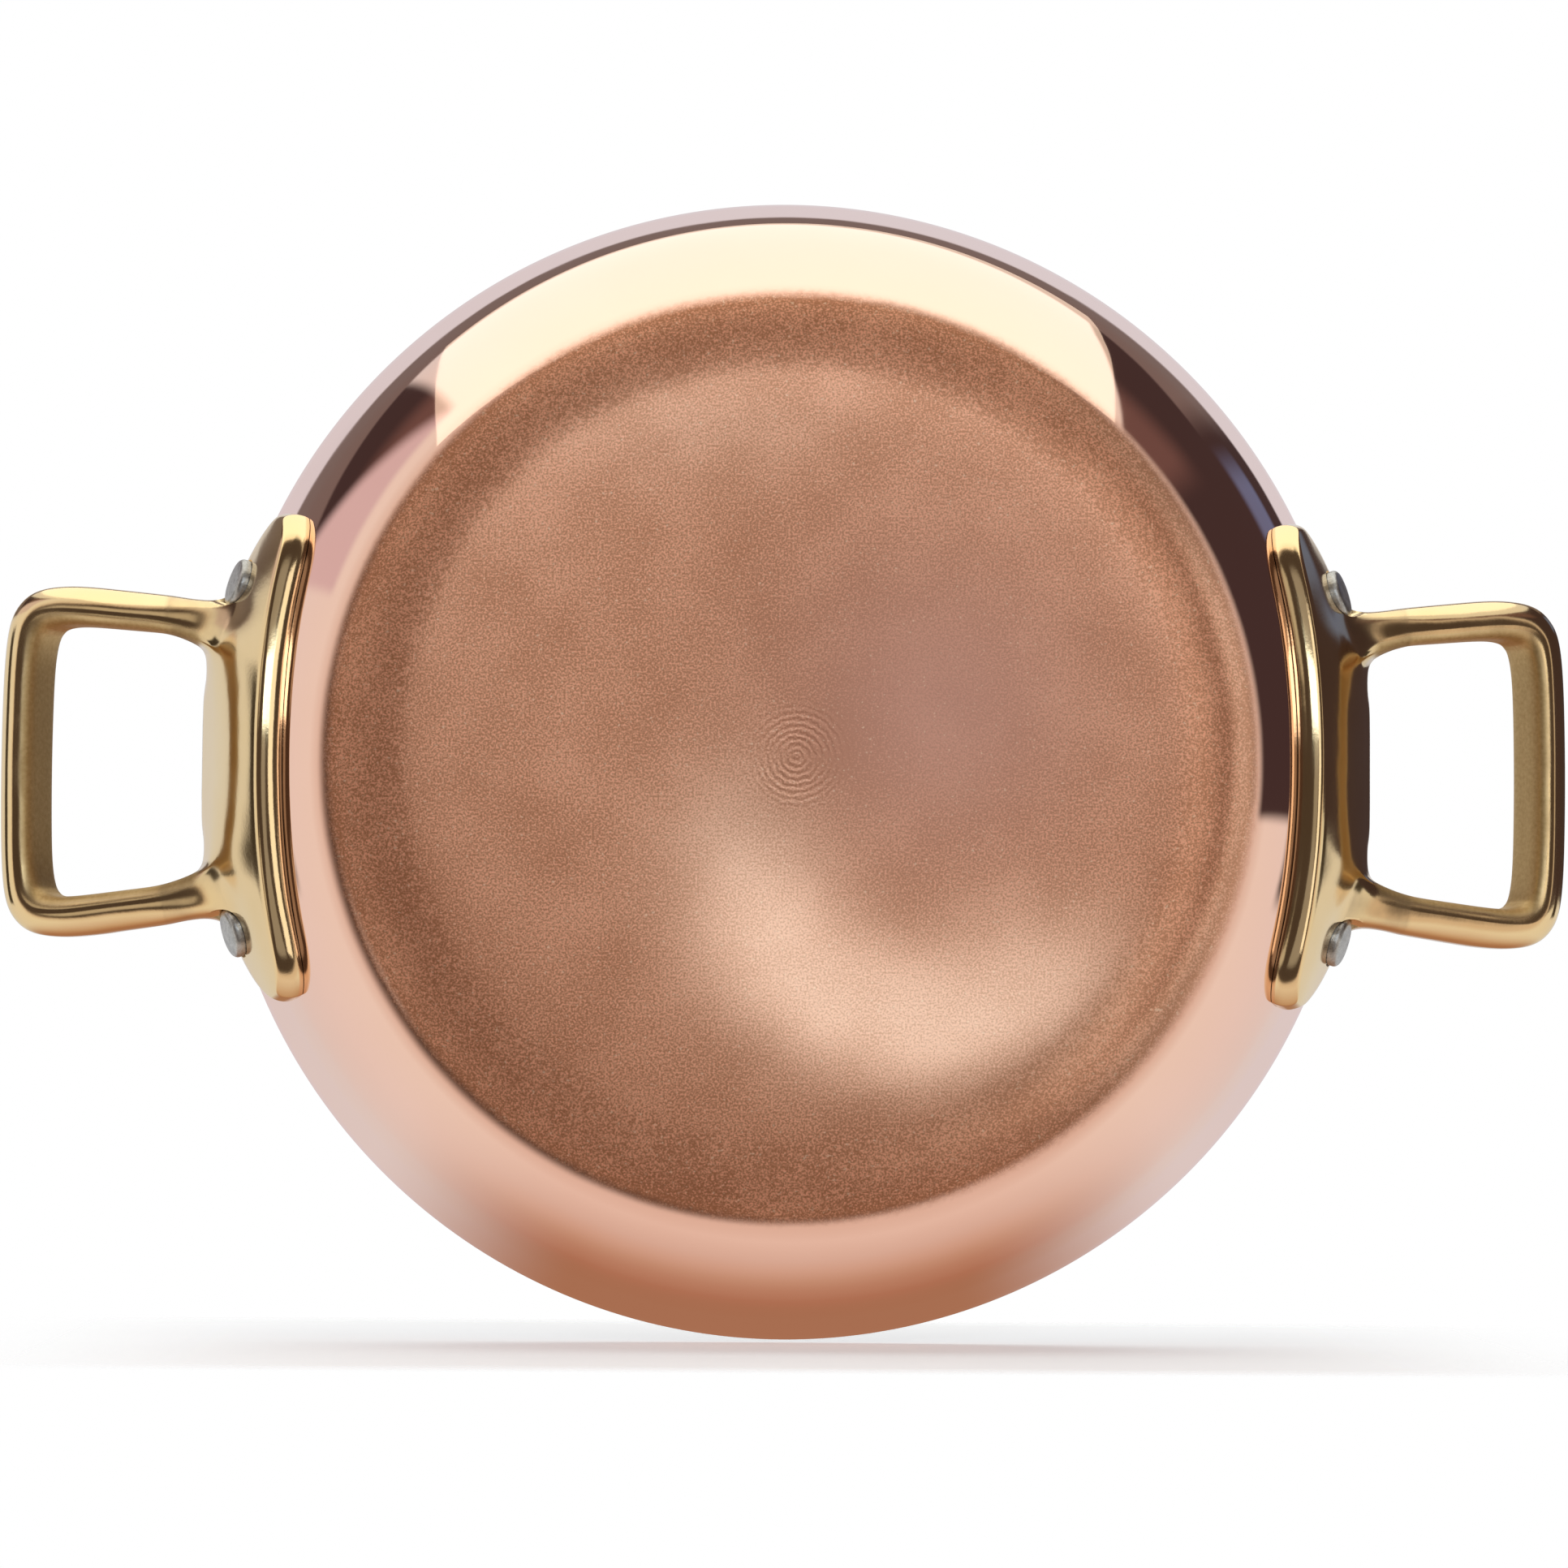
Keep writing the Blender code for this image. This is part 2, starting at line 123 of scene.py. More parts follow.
def skin_profile(depth):
    """Half section of a skin that lies a depth inside the outer surface, from the rim to the axis."""
    wall_top = Vector((RIM_RADIUS - depth / math.cos(WALL_FLARE), PAN_HEIGHT))
    inner_radius = CORNER_RADIUS - depth
    corner = []
    for step in range(CORNER_STEPS, -1, -1):
        tilt = NORMAL_TILT * step / CORNER_STEPS
        corner.append(Vector((FLAT_RADIUS + inner_radius * math.sin(tilt),
                              CORNER_RADIUS - inner_radius * math.cos(tilt))))
    wall = [wall_top.lerp(corner[0], step / WALL_STEPS) for step in range(WALL_STEPS)]
    bottom = [Vector((FLAT_RADIUS * share, depth)) for share in BOTTOM_RINGS]
    return wall + corner + bottom + [Vector((0.0, depth))]


print("points of a skin:", len(skin_profile(0.0)))

# %% [markdown]
# A lathe turns a section into a body. In bmesh the spin operator does that: it sweeps a row of
# vertices round an axis, and use_merge closes the last step onto the first. The points on the axis
# fall together, so doubles are merged, and then the faces are turned to look outwards.

# %% Turning on the lathe
TURN_STEPS = 288


def turn(bm, section, steps):
    """Spin a half section, given as radius and height, once round the Z axis."""
    points = [bm.verts.new((point[0], 0.0, point[1])) for point in section]
    lines = [bm.edges.new(pair) for pair in zip(points, points[1:])]
    bmesh.ops.spin(bm, geom=points + lines, cent=(0, 0, 0), axis=(0, 0, 1), dvec=(0, 0, 0),
                   angle=math.tau, steps=steps, use_merge=True)
    bmesh.ops.remove_doubles(bm, verts=bm.verts, dist=WELD)
    bmesh.ops.recalc_face_normals(bm, faces=bm.faces)


def finished(bm, name, sharp_angle=35.0):
    """Make an object of a bmesh, shaded smooth but for its sharp edges."""
    mesh = bpy.data.meshes.new(name)
    bm.to_mesh(mesh)
    bm.free()
    mesh.shade_smooth()
    mesh.set_sharp_from_angle(angle=math.radians(sharp_angle))
    piece = bpy.data.objects.new(name, mesh)
    bpy.context.scene.collection.objects.link(piece)
    print(name, "faces:", len(mesh.polygons))
    return piece


print("steps of a full turn:", TURN_STEPS)

# %% [markdown]
# ## Copper body
# The real sheet is copper with a thin steel layer rolled onto it, so at the rim both metals meet
# without a gap. The copper here is carried up to the steel, and the sharp corners of the cut rim
# are eased, as a polisher leaves them.

# %% Copper shell
RIM_ROUND_STEPS = 5
TOUCH = 0.00002


def eased(profile, ease, side):
    """Round the rim end of a skin into the flat top of the rim."""
    start = profile[0]
    run = (profile[1] - start).normalized() * ease
    top = Vector((start.x + side * ease, start.y))
    low = start + run
    arc = []
    for step in range(RIM_ROUND_STEPS + 1):
        share = step / RIM_ROUND_STEPS
        arc.append(top.lerp(start, share).lerp(start.lerp(low, share), share))
    return arc + profile[1:]


def shell_section(outer_depth, inner_depth):
    """Closed half section between two skins: up the inside, over the rim and down the outside."""
    outer = eased(skin_profile(outer_depth), RIM_EASE, -1)
    inner = eased(skin_profile(inner_depth), LINING_THICKNESS / 4, 1)
    return inner[::-1] + outer


bm = bmesh.new()
turn(bm, shell_section(0.0, LINING_DEPTH - TOUCH), TURN_STEPS)
body = finished(bm, "spun_copper_body")
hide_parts("copper_body")

# %% [markdown]
# ## Steel lining
# The cooking side is a skin of stainless steel only a few tenths of a millimetre thick. It isn't
# seen in the photograph, but it is what the pan shows from above, so it gets the same care.

# %% Lining shell
bm = bmesh.new()
turn(bm, shell_section(LINING_DEPTH, WALL_THICKNESS), TURN_STEPS)
lining = finished(bm, "brushed_steel_lining")
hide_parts("stainless_lining")

# %% [markdown]
# ## Handles
# Each handle is one brass casting: a flange that follows the wall, and a loop that rises as it goes
# out. Such a form has no edges at all, only soft turns, so it is drawn as a coarse cage that
# Subdivision Surface rounds. The cage starts as a grid, bent onto the wall; it is extruded twice for
# the flange's thickness, and the patch of an arm is extruded on, ring by ring, to the loop's middle.

# %% Measures of a handle
FLANGE_LENGTH = 0.0882
FLANGE_THICKNESS = 0.0042
FLANGE_BOTTOM = 0.0088
FLANGE_TOP = 0.0354
FLANGE_TIP_BOTTOM = 0.0140
FLANGE_TIP_TOP = 0.0262
FLANGE_EDGE_INSET = 0.0016
FLANGE_SHOULDER_POWER = 5
FLANGE_TIP_ROUNDING = 0.0034
FLANGE_TIP_SHARPNESS = 24
FLANGE_GAP = 0.0001
LOOP_RISE = math.radians(24.0)
LOOP_LENGTH = 0.0364
LOOP_BOW = 0.00053
LOOP_CORNER_RADIUS = 0.0066
LOOP_CORNER_FILL = 0.0011
ARM_SPLAY = 0.0062
BAR_WIDTH = 0.0070
BAR_DEPTH = 0.0097
ARM_ROOT_WIDTH = 0.0064
ARM_ROOT_DEPTH = 0.0078
ROOT_FILLET_INSIDE = 0.0024
ROOT_FILLET_OUTSIDE = 0.0006
GRIP_EDGE_FULLNESS = 1.07
RIVET_TO_TIP = 0.0153
RIVET_TO_ARM_FACE = 0.0012
RIVET_HEIGHT = 0.0268

RIVET_SPACING = FLANGE_LENGTH - 2 * RIVET_TO_TIP
ARM_GAP_AT_ROOT = RIVET_SPACING - 2 * (RIVET_TO_ARM_FACE + ARM_ROOT_WIDTH)
ARM_GAP_AT_BAR = ARM_GAP_AT_ROOT + ARM_SPLAY
ARM_ROOT_SLANT = math.cos(WALL_FLARE) / math.cos(LOOP_RISE + WALL_FLARE)
ARM_ROOT_REACH = ARM_ROOT_DEPTH / 2 * ARM_ROOT_SLANT
LOOP_ROOT_HEIGHT = FLANGE_TOP - FLANGE_EDGE_INSET - ARM_ROOT_REACH
print("arms stand apart in mm:", round(ARM_GAP_AT_ROOT * 1000, 1))

# %% Lines of the cage
FLANGE_LOW_ROWS = (0.0, 0.06, 0.28)
FLANGE_WEB_ROWS = (0.0, 0.0, 0.4, 1.0, 1.0, 1.0)
FLANGE_WEB_COLUMNS = (0.0, 0.40, 0.78)
FLANGE_END_COLUMNS = (0.35, 0.68, 0.90, 1.0)
FLANGE_MIDDLE_LAYER = 0.4
FLANGE_TUCKS = (0.0005, 0.0006, 0.0)
GRIP_CORNER_CREASES = (0.75, 0.5)
ARM_COLUMNS = (3, 4, 5)
ARM_ROWS = (3, 4, 5)


def wall_section(height):
    """Radius and tilt of the outer surface at a height; the tilt is measured from straight down."""
    if height < CORNER_TOP:
        tilt = math.acos(1 - height / CORNER_RADIUS)
        return FLAT_RADIUS + CORNER_RADIUS * math.sin(tilt), tilt
    return RIM_RADIUS - (PAN_HEIGHT - height) * math.tan(WALL_FLARE), NORMAL_TILT


def on_wall(swing, height, stand_off):
    """Point off the outer surface, along its normal."""
    radius, tilt = wall_section(height)
    radius += stand_off * math.sin(tilt)
    drop = stand_off * math.cos(tilt)
    return Vector((radius * math.cos(swing), radius * math.sin(swing), height - drop))


def flange_columns():
    """Distances from the handle's middle plane to the flange's column lines."""
    arm_inner = ARM_GAP_AT_ROOT / 2 - ROOT_FILLET_INSIDE
    arm_outer = ARM_GAP_AT_ROOT / 2 + ARM_ROOT_WIDTH + ROOT_FILLET_OUTSIDE
    beyond = FLANGE_LENGTH / 2 - arm_outer
    web = [arm_inner * share for share in FLANGE_WEB_COLUMNS]
    arm = [arm_inner, (arm_inner + arm_outer) / 2, arm_outer]
    return web + arm + [arm_outer + beyond * share for share in FLANGE_END_COLUMNS]


def flange_rows():
    """Shares of the flange's height at which its row lines run, up to the top of the arms."""
    lowest = FLANGE_BOTTOM + FLANGE_EDGE_INSET
    highest = FLANGE_TOP - FLANGE_EDGE_INSET
    heights = [LOOP_ROOT_HEIGHT - ARM_ROOT_REACH, LOOP_ROOT_HEIGHT]
    return list(FLANGE_LOW_ROWS) + [(h - lowest) / (highest - lowest) for h in heights] + [1.0]


def web_thickness(across):
    """Extra metal between the arms, which makes the loop's inner side straight."""
    face_radius = wall_section(LOOP_ROOT_HEIGHT)[0] + FLANGE_THICKNESS
    arm_inner = ARM_GAP_AT_ROOT / 2
    straight = min(across, arm_inner)
    fade = min(1.0, max(0.0, (arm_inner + ARM_ROOT_WIDTH - across) / ARM_ROOT_WIDTH))
    return face_radius * (1 / math.cos(math.asin(straight / face_radius)) - 1) * fade


def flange_point(across, row, stand_off, inset, tuck):
    """Point of the flange, from its distance off the middle plane and its row share."""
    face_radius = wall_section(RIVET_HEIGHT)[0] + FLANGE_THICKNESS
    share = across / (FLANGE_LENGTH / 2)
    rounding = inset + FLANGE_TIP_ROUNDING * share ** FLANGE_TIP_SHARPNESS
    low = FLANGE_BOTTOM + (FLANGE_TIP_BOTTOM - FLANGE_BOTTOM) * share ** 2
    high = FLANGE_TOP + (FLANGE_TIP_TOP - FLANGE_TOP) * share ** FLANGE_SHOULDER_POWER
    height = low + rounding + (high - low - 2 * rounding) * row
    height += tuck * max(0.0, 1 - row / FLANGE_LOW_ROWS[-1])
    swing = math.asin((across - inset * share) / face_radius)
    return on_wall(swing, height, stand_off)


print("lines of half a flange:", len(flange_columns()), "by", len(flange_rows()))

# %% [markdown]
# The loop lies in its own tilted plane, so its rings are first laid out flat in that plane: along the
# arm, round the corner and along the bar. Each ring has nine points, three by three. The inner edges
# are pushed out a little, because the real grip has its fullest section there.

# %% Rings of the loop
ROOT_STATION = 1.2
ROOT_FLARE = 0.35
ROOT_LEAN = 0.75
ARM_STATIONS = (0.26, 0.40, 0.62, 0.90)
ARM_LEANS = (0.35, 0.1, 0.0, 0.0)
CORNER_STATIONS = (math.radians(68.0), math.radians(45.0), math.radians(22.0))
BAR_STATIONS = (0.86, 0.45, 0.0)
LOWER_FACE_LIFTS = (0.0005, -0.0007, 0.0019)
Ring = namedtuple("Ring", "centre heading width depth fill lean", defaults=(0.0, 0.0))


def loop_stations():
    """Rings along half of the loop, from the flange round the corner to the middle plane."""
    root_across = (ARM_GAP_AT_ROOT + ARM_ROOT_WIDTH) / 2
    bar_across = (ARM_GAP_AT_BAR + BAR_WIDTH) / 2
    corner_out = LOOP_LENGTH - LOOP_CORNER_RADIUS
    corner_across = bar_across - LOOP_CORNER_RADIUS
    heading = Vector((corner_out, bar_across - root_across)).normalized()
    near_face = Vector((ROOT_FILLET_INSIDE * ROOT_STATION, root_across))
    flare = ROOT_FILLET_INSIDE * ROOT_FLARE
    rings = [Ring(near_face, heading, ARM_ROOT_WIDTH, ARM_ROOT_DEPTH, flare, ROOT_LEAN)]
    for share, lean in zip(ARM_STATIONS, ARM_LEANS):
        centre = Vector((corner_out * share, root_across + (bar_across - root_across) * share))
        width = ARM_ROOT_WIDTH + (BAR_WIDTH - ARM_ROOT_WIDTH) * share
        depth = ARM_ROOT_DEPTH + (BAR_DEPTH - ARM_ROOT_DEPTH) * share
        rings.append(Ring(centre, heading, width, depth, lean=lean))
    for swing in CORNER_STATIONS:
        spoke = Vector((math.cos(swing), math.sin(swing)))
        centre = Vector((corner_out, corner_across)) + spoke * LOOP_CORNER_RADIUS
        fill = LOOP_CORNER_FILL * math.sin(2 * swing)
        rings.append(Ring(centre, Vector((spoke.y, -spoke.x)), BAR_WIDTH, BAR_DEPTH, fill))
    for share in BAR_STATIONS:
        centre = Vector((LOOP_LENGTH + LOOP_BOW * (1 - share ** 2), corner_across * share))
        rings.append(Ring(centre, Vector((0.0, -1.0)), BAR_WIDTH, BAR_DEPTH))
    return rings


def place_ring(cap, ring):
    """Move the nine points of an extruded cap to one ring of the loop."""
    root_radius = wall_section(LOOP_ROOT_HEIGHT)[0] + FLANGE_THICKNESS
    origin = Vector((root_radius, 0.0, LOOP_ROOT_HEIGHT))
    outwards = Vector((math.cos(LOOP_RISE), 0.0, math.sin(LOOP_RISE)))
    upwards = Vector((-math.sin(LOOP_RISE), 0.0, math.cos(LOOP_RISE)))
    side = Vector((-ring.heading.y, ring.heading.x))
    slope = math.tan(LOOP_RISE + WALL_FLARE) * ring.lean
    crowned = 1.0 - ring.lean
    for (column, row), vertex in cap.items():
        fullness = GRIP_EDGE_FULLNESS if column == 0 and row != 1 else 1.0
        inwards = ring.fill if column == 0 else 0.0
        lift = ring.depth * (row - 1) / 2 * fullness
        if row == 0:
            lift += LOWER_FACE_LIFTS[column] * crowned
        flat = ring.centre + side * (ring.width * (column - 1) / 2 * fullness - inwards)
        flat += ring.heading * lift * slope
        vertex.co = origin + outwards * flat.x + Vector((0.0, flat.y, 0.0)) + upwards * lift


print("rings of half a loop:", len(loop_stations()))

# %% [markdown]
# The cage is marked as it grows. A vertex on the inner side of the loop gets 1 in an attribute named
# finger_side, and one where an arm meets the flange gets 1 in arm_root. Subdivision blends both over
# the finished surface, and the brass finish reads them later: castings stay rougher inside the loop,
# and polish and dirt collect in the corner that no wheel reaches.

# %% Cage of half a handle
BURIED = COPPER_THICKNESS / 2
FINGER_SIDE_BY_COLUMN = (1.0, 0.25, 0.0)
ROOT_RINGS = 2


def extrude_patch(bm, faces, grid):
    """Extrude faces in place and give them, with the grid of their vertices kept in step."""
    edges = {edge for face in faces for edge in face.edges}
    vertices = {vertex for face in faces for vertex in face.verts}
    before = {key: tuple(vertex.co) for key, vertex in grid.items()}
    region = list(faces) + list(edges) + list(vertices)
    result = bmesh.ops.extrude_face_region(bm, geom=region)
    grown = [item for item in result["geom"] if isinstance(item, bmesh.types.BMFace)]
    places = {tuple(vertex.co): vertex for face in grown for vertex in face.verts}
    return grown, {key: places[place] for key, place in before.items()}


def handle_cage():
    """Cage of a whole handle on the +X side of the pan."""
    columns, rows = flange_columns(), flange_rows()
    bm = bmesh.new()
    crease = bm.edges.layers.float.new("crease_edge")
    finger_side = bm.verts.layers.float.new("finger_side")
    arm_root = bm.verts.layers.float.new("arm_root")
    bmesh.ops.create_grid(bm, x_segments=len(columns) - 1, y_segments=len(rows) - 1, size=1.0)
    order = sorted(bm.verts, key=lambda vertex: (round(vertex.co.x, 4), round(vertex.co.y, 4)))
    grid = {(index // len(rows), index % len(rows)): vertex for index, vertex in enumerate(order)}
    layers = ((-BURIED, 0.0), (FLANGE_THICKNESS * FLANGE_MIDDLE_LAYER, 0.0),
              (FLANGE_THICKNESS, FLANGE_EDGE_INSET))
    faces = list(bm.faces)
    for layer, (stand_off, inset) in enumerate(layers):
        if layer:
            faces, grid = extrude_patch(bm, faces, grid)
        for (column, row), vertex in grid.items():
            web = web_thickness(columns[column]) * FLANGE_WEB_ROWS[row] if inset else 0.0
            vertex.co = flange_point(columns[column], rows[row], stand_off + web, inset,
                                     FLANGE_TUCKS[layer])
    for column, sharpness in enumerate(GRIP_CORNER_CREASES):
        edge = bm.edges.get((grid[column, ARM_ROWS[2]], grid[column + 1, ARM_ROWS[2]]))
        edge[crease] = sharpness
    patch = {(column - ARM_COLUMNS[0], row - ARM_ROWS[0]): grid[column, row]
             for column in ARM_COLUMNS for row in ARM_ROWS}
    for vertex in patch.values():
        vertex[arm_root] = 1.0
    roots = set(patch.values())
    faces = [face for face in faces if roots.issuperset(face.verts)]
    for number, ring in enumerate(loop_stations()):
        faces, patch = extrude_patch(bm, faces, patch)
        place_ring(patch, ring)
        for (column, row), vertex in patch.items():
            vertex[finger_side] = FINGER_SIDE_BY_COLUMN[column]
            vertex[arm_root] = 1.0 if number < ROOT_RINGS else 0.0
    on_plane = [face for face in bm.faces if all(abs(vertex.co.y) < WELD for vertex in face.verts)]
    bmesh.ops.delete(bm, geom=on_plane, context="FACES")
    bmesh.ops.mirror(bm, geom=list(bm.verts) + list(bm.edges) + list(bm.faces), axis="Y",
                     merge_dist=WELD)
    bmesh.ops.recalc_face_normals(bm, faces=bm.faces)
    return bm


cage = handle_cage()
print("faces of a handle's cage:", len(cage.faces))

# %% [markdown]
# The subdivided casting still sinks into the wall, and it has no seats for the rivets. Both are cut,
# as a fitter would file and drill them: a Boolean takes away the turned shape of the wall, and one
# stepped drill per rivet bores the hole and faces a flat round seat. The result is applied, and the
# second handle is the first one turned half round the pan.

# %% Drill and file one handle
RIVET_SHANK_RADIUS = 0.0024
OUTER_HEAD_RADIUS = 0.0043
OUTER_HEAD_HEIGHT = 0.0019
INNER_HEAD_RADIUS = 0.0048
INNER_HEAD_HEIGHT = 0.0013
SPOT_FACE_DEPTH = 0.0005
RIVET_GAP = 0.0003
CASTING_LEVELS = 3
DRILL_SIDES = 64
FILE_STEPS = 144

hollow = INNER_HEAD_RADIUS ** 2 / (2 * wall_section(RIVET_HEIGHT)[0])
OUTER_SEAT = FLANGE_THICKNESS - SPOT_FACE_DEPTH + RIVET_GAP
INNER_SEAT = -(WALL_THICKNESS + RIVET_GAP + hollow)


def rivet_stand(end):
    """Matrix that stands the Z axis on the wall at a rivet of the +X handle; end is -1 or 1."""
    radius, tilt = wall_section(RIVET_HEIGHT)
    swing = end * math.asin(RIVET_SPACING / 2 / radius)
    place = Vector((radius * math.cos(swing), radius * math.sin(swing), RIVET_HEIGHT))
    direction = Vector((math.sin(tilt) * math.cos(swing), math.sin(tilt) * math.sin(swing),
                        -math.cos(tilt)))
    return Matrix.Translation(place) @ direction.to_track_quat("Z", "X").to_matrix().to_4x4()


def cut_with(piece, cutter):
    """Take a cutter's shape out of a piece."""
    cut = piece.modifiers.new("cut_" + cutter.name, "BOOLEAN")
    cut.operation = "DIFFERENCE"
    cut.solver = "EXACT"
    cut.object = cutter


def drill(end):
    """Stepped drill for one rivet: the hole of the shank and, outside it, the seat of the head."""
    bore = RIVET_SHANK_RADIUS + RIVET_GAP
    spot = OUTER_HEAD_RADIUS + RIVET_GAP
    top = OUTER_SEAT + BAR_DEPTH
    floor = OUTER_SEAT - RIVET_GAP
    section = [(0.0, top), (spot, top), (spot, floor),
               (bore, floor), (bore, INNER_SEAT), (0.0, INNER_SEAT)]
    bm = bmesh.new()
    turn(bm, section, DRILL_SIDES)
    bmesh.ops.transform(bm, matrix=rivet_stand(end), verts=bm.verts)
    return finished(bm, "drill")


bm = bmesh.new()
turn(bm, [(0.0, PAN_HEIGHT)] + skin_profile(-FLANGE_GAP), FILE_STEPS)
file = finished(bm, "file")
cutters = [file, drill(-1), drill(1)]
casting = finished(cage, "casting")
rounding = casting.modifiers.new("rounding", "SUBSURF")
rounding.levels = CASTING_LEVELS
rounding.render_levels = CASTING_LEVELS
for cutter in cutters:
    cut_with(casting, cutter)

# %% Both handles
HANDLE_SHARP_ANGLE = 40.0


def cast_handle(name, swing):
    """Applied copy of the casting, turned round the pan's axis."""
    evaluated = casting.evaluated_get(bpy.context.evaluated_depsgraph_get())
    bm = bmesh.new()
    bm.from_mesh(evaluated.to_mesh())
    bmesh.ops.remove_doubles(bm, verts=bm.verts, dist=WELD)
    bmesh.ops.rotate(bm, verts=bm.verts, cent=(0, 0, 0), matrix=Matrix.Rotation(swing, 3, "Z"))
    return finished(bm, name, HANDLE_SHARP_ANGLE)


handles = {"right": cast_handle("cast_handle_right", 0.0),
           "left": cast_handle("cast_handle_left", math.pi)}
for side, handle in handles.items():
    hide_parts("handle_" + side)
for helper in cutters + [casting]:
    bpy.data.objects.remove(helper)

# %% [markdown]
# ## Rivets
# A solid steel rivet goes through flange and wall. Its outer head is a low disc with a broken edge,
# and its inner head is a flat dome that was swaged against the lining. Each one is a section that is
# turned, with the rim of the head bevelled, and stood on its axis.

# %% Turn and set the rivets
RIVET_STEPS = 64
HEAD_BEVEL = 0.0009
HEAD_BEVEL_STEPS = 5
HEAD_CROWN = 0.00015
HEAD_FLAT_SHARE = 0.6
DOME = ((0.97, 0.30), (0.90, 0.55), (0.76, 0.77), (0.55, 0.91), (0.30, 0.98), (0.0, 1.0))


def rivet_section():
    """Half section of a rivet, outer head first."""
    top = OUTER_SEAT + OUTER_HEAD_HEIGHT
    dome = [(INNER_HEAD_RADIUS * out, INNER_SEAT - INNER_HEAD_HEIGHT * up) for out, up in DOME]
    head = [(0.0, top), (OUTER_HEAD_RADIUS * HEAD_FLAT_SHARE, top - HEAD_CROWN / 2),
            (OUTER_HEAD_RADIUS, top - HEAD_CROWN), (OUTER_HEAD_RADIUS, OUTER_SEAT)]
    shank = [(RIVET_SHANK_RADIUS, OUTER_SEAT), (RIVET_SHANK_RADIUS, INNER_SEAT)]
    return head + shank + [(INNER_HEAD_RADIUS, INNER_SEAT)] + dome


def set_rivet(name, end, swing):
    """One rivet, turned, bevelled and stood in its hole."""
    bm = bmesh.new()
    turn(bm, rivet_section(), RIVET_STEPS)
    rim_height = OUTER_SEAT + OUTER_HEAD_HEIGHT - HEAD_CROWN
    on_rim = {vertex for vertex in bm.verts if abs(vertex.co.z - rim_height) < WELD
              and vertex.co.xy.length > OUTER_HEAD_RADIUS - WELD}
    rim = [edge for edge in bm.edges if on_rim.issuperset(edge.verts)]
    bmesh.ops.bevel(bm, geom=rim, offset=HEAD_BEVEL, segments=HEAD_BEVEL_STEPS, profile=0.5,
                    affect="EDGES", material=-1)
    placing = Matrix.Rotation(swing, 4, "Z") @ rivet_stand(end)
    bmesh.ops.transform(bm, matrix=placing, verts=bm.verts)
    return finished(bm, name)


rivets = []
for side, swing in (("left", math.pi), ("right", 0.0)):
    for label, world_end in (("front", -1), ("back", 1)):
        end = world_end if side == "right" else -world_end
        rivet = set_rivet("steel_rivet_" + side + "_" + label, end, swing)
        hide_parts("rivet_" + side + "_" + label)
        rivets.append(rivet)

# %% [markdown]
# ## Writing finishes as sums
# A node material is a formula, so it reads best as one. The small class below wraps a socket, and
# Python's own operators then add Math nodes: 1 - mask works as it stands. Every other node comes
# from one method, which takes the node's type, its settings and what goes into its sockets.

# %% Sockets that can be added and multiplied
def operator(operation, reflected=False):
    """Method that adds a Math node; reflected is for a signal to the right of the sign."""
    def method(signal, other):
        first, second = (other, signal) if reflected else (signal, other)
        return signal.finish.add("Math", {"operation": operation}, {0: first, 1: second})
    return method


class Signal:
    """An output socket of a node tree."""

    __add__ = __radd__ = operator("ADD")
    __sub__ = operator("SUBTRACT")
    __rsub__ = operator("SUBTRACT", reflected=True)
    __mul__ = __rmul__ = operator("MULTIPLY")
    __truediv__ = operator("DIVIDE")
    __rtruediv__ = operator("DIVIDE", reflected=True)
    __pow__ = operator("POWER")

    def __init__(self, finish, socket):
        self.finish = finish
        self.socket = socket

    def maths(self, operation, *others):
        """Any other Math node on this signal."""
        return self.finish.add("Math", {"operation": operation}, dict(enumerate((self, *others))))


print("reflected operators:", [name for name in vars(Signal) if name.startswith("__r")])

# %% [markdown]
# A finish is a node tree with a few methods that are wanted again and again: a soft step, a band, a
# bell curve, a mix of two colours, a cloudy noise and a bump.

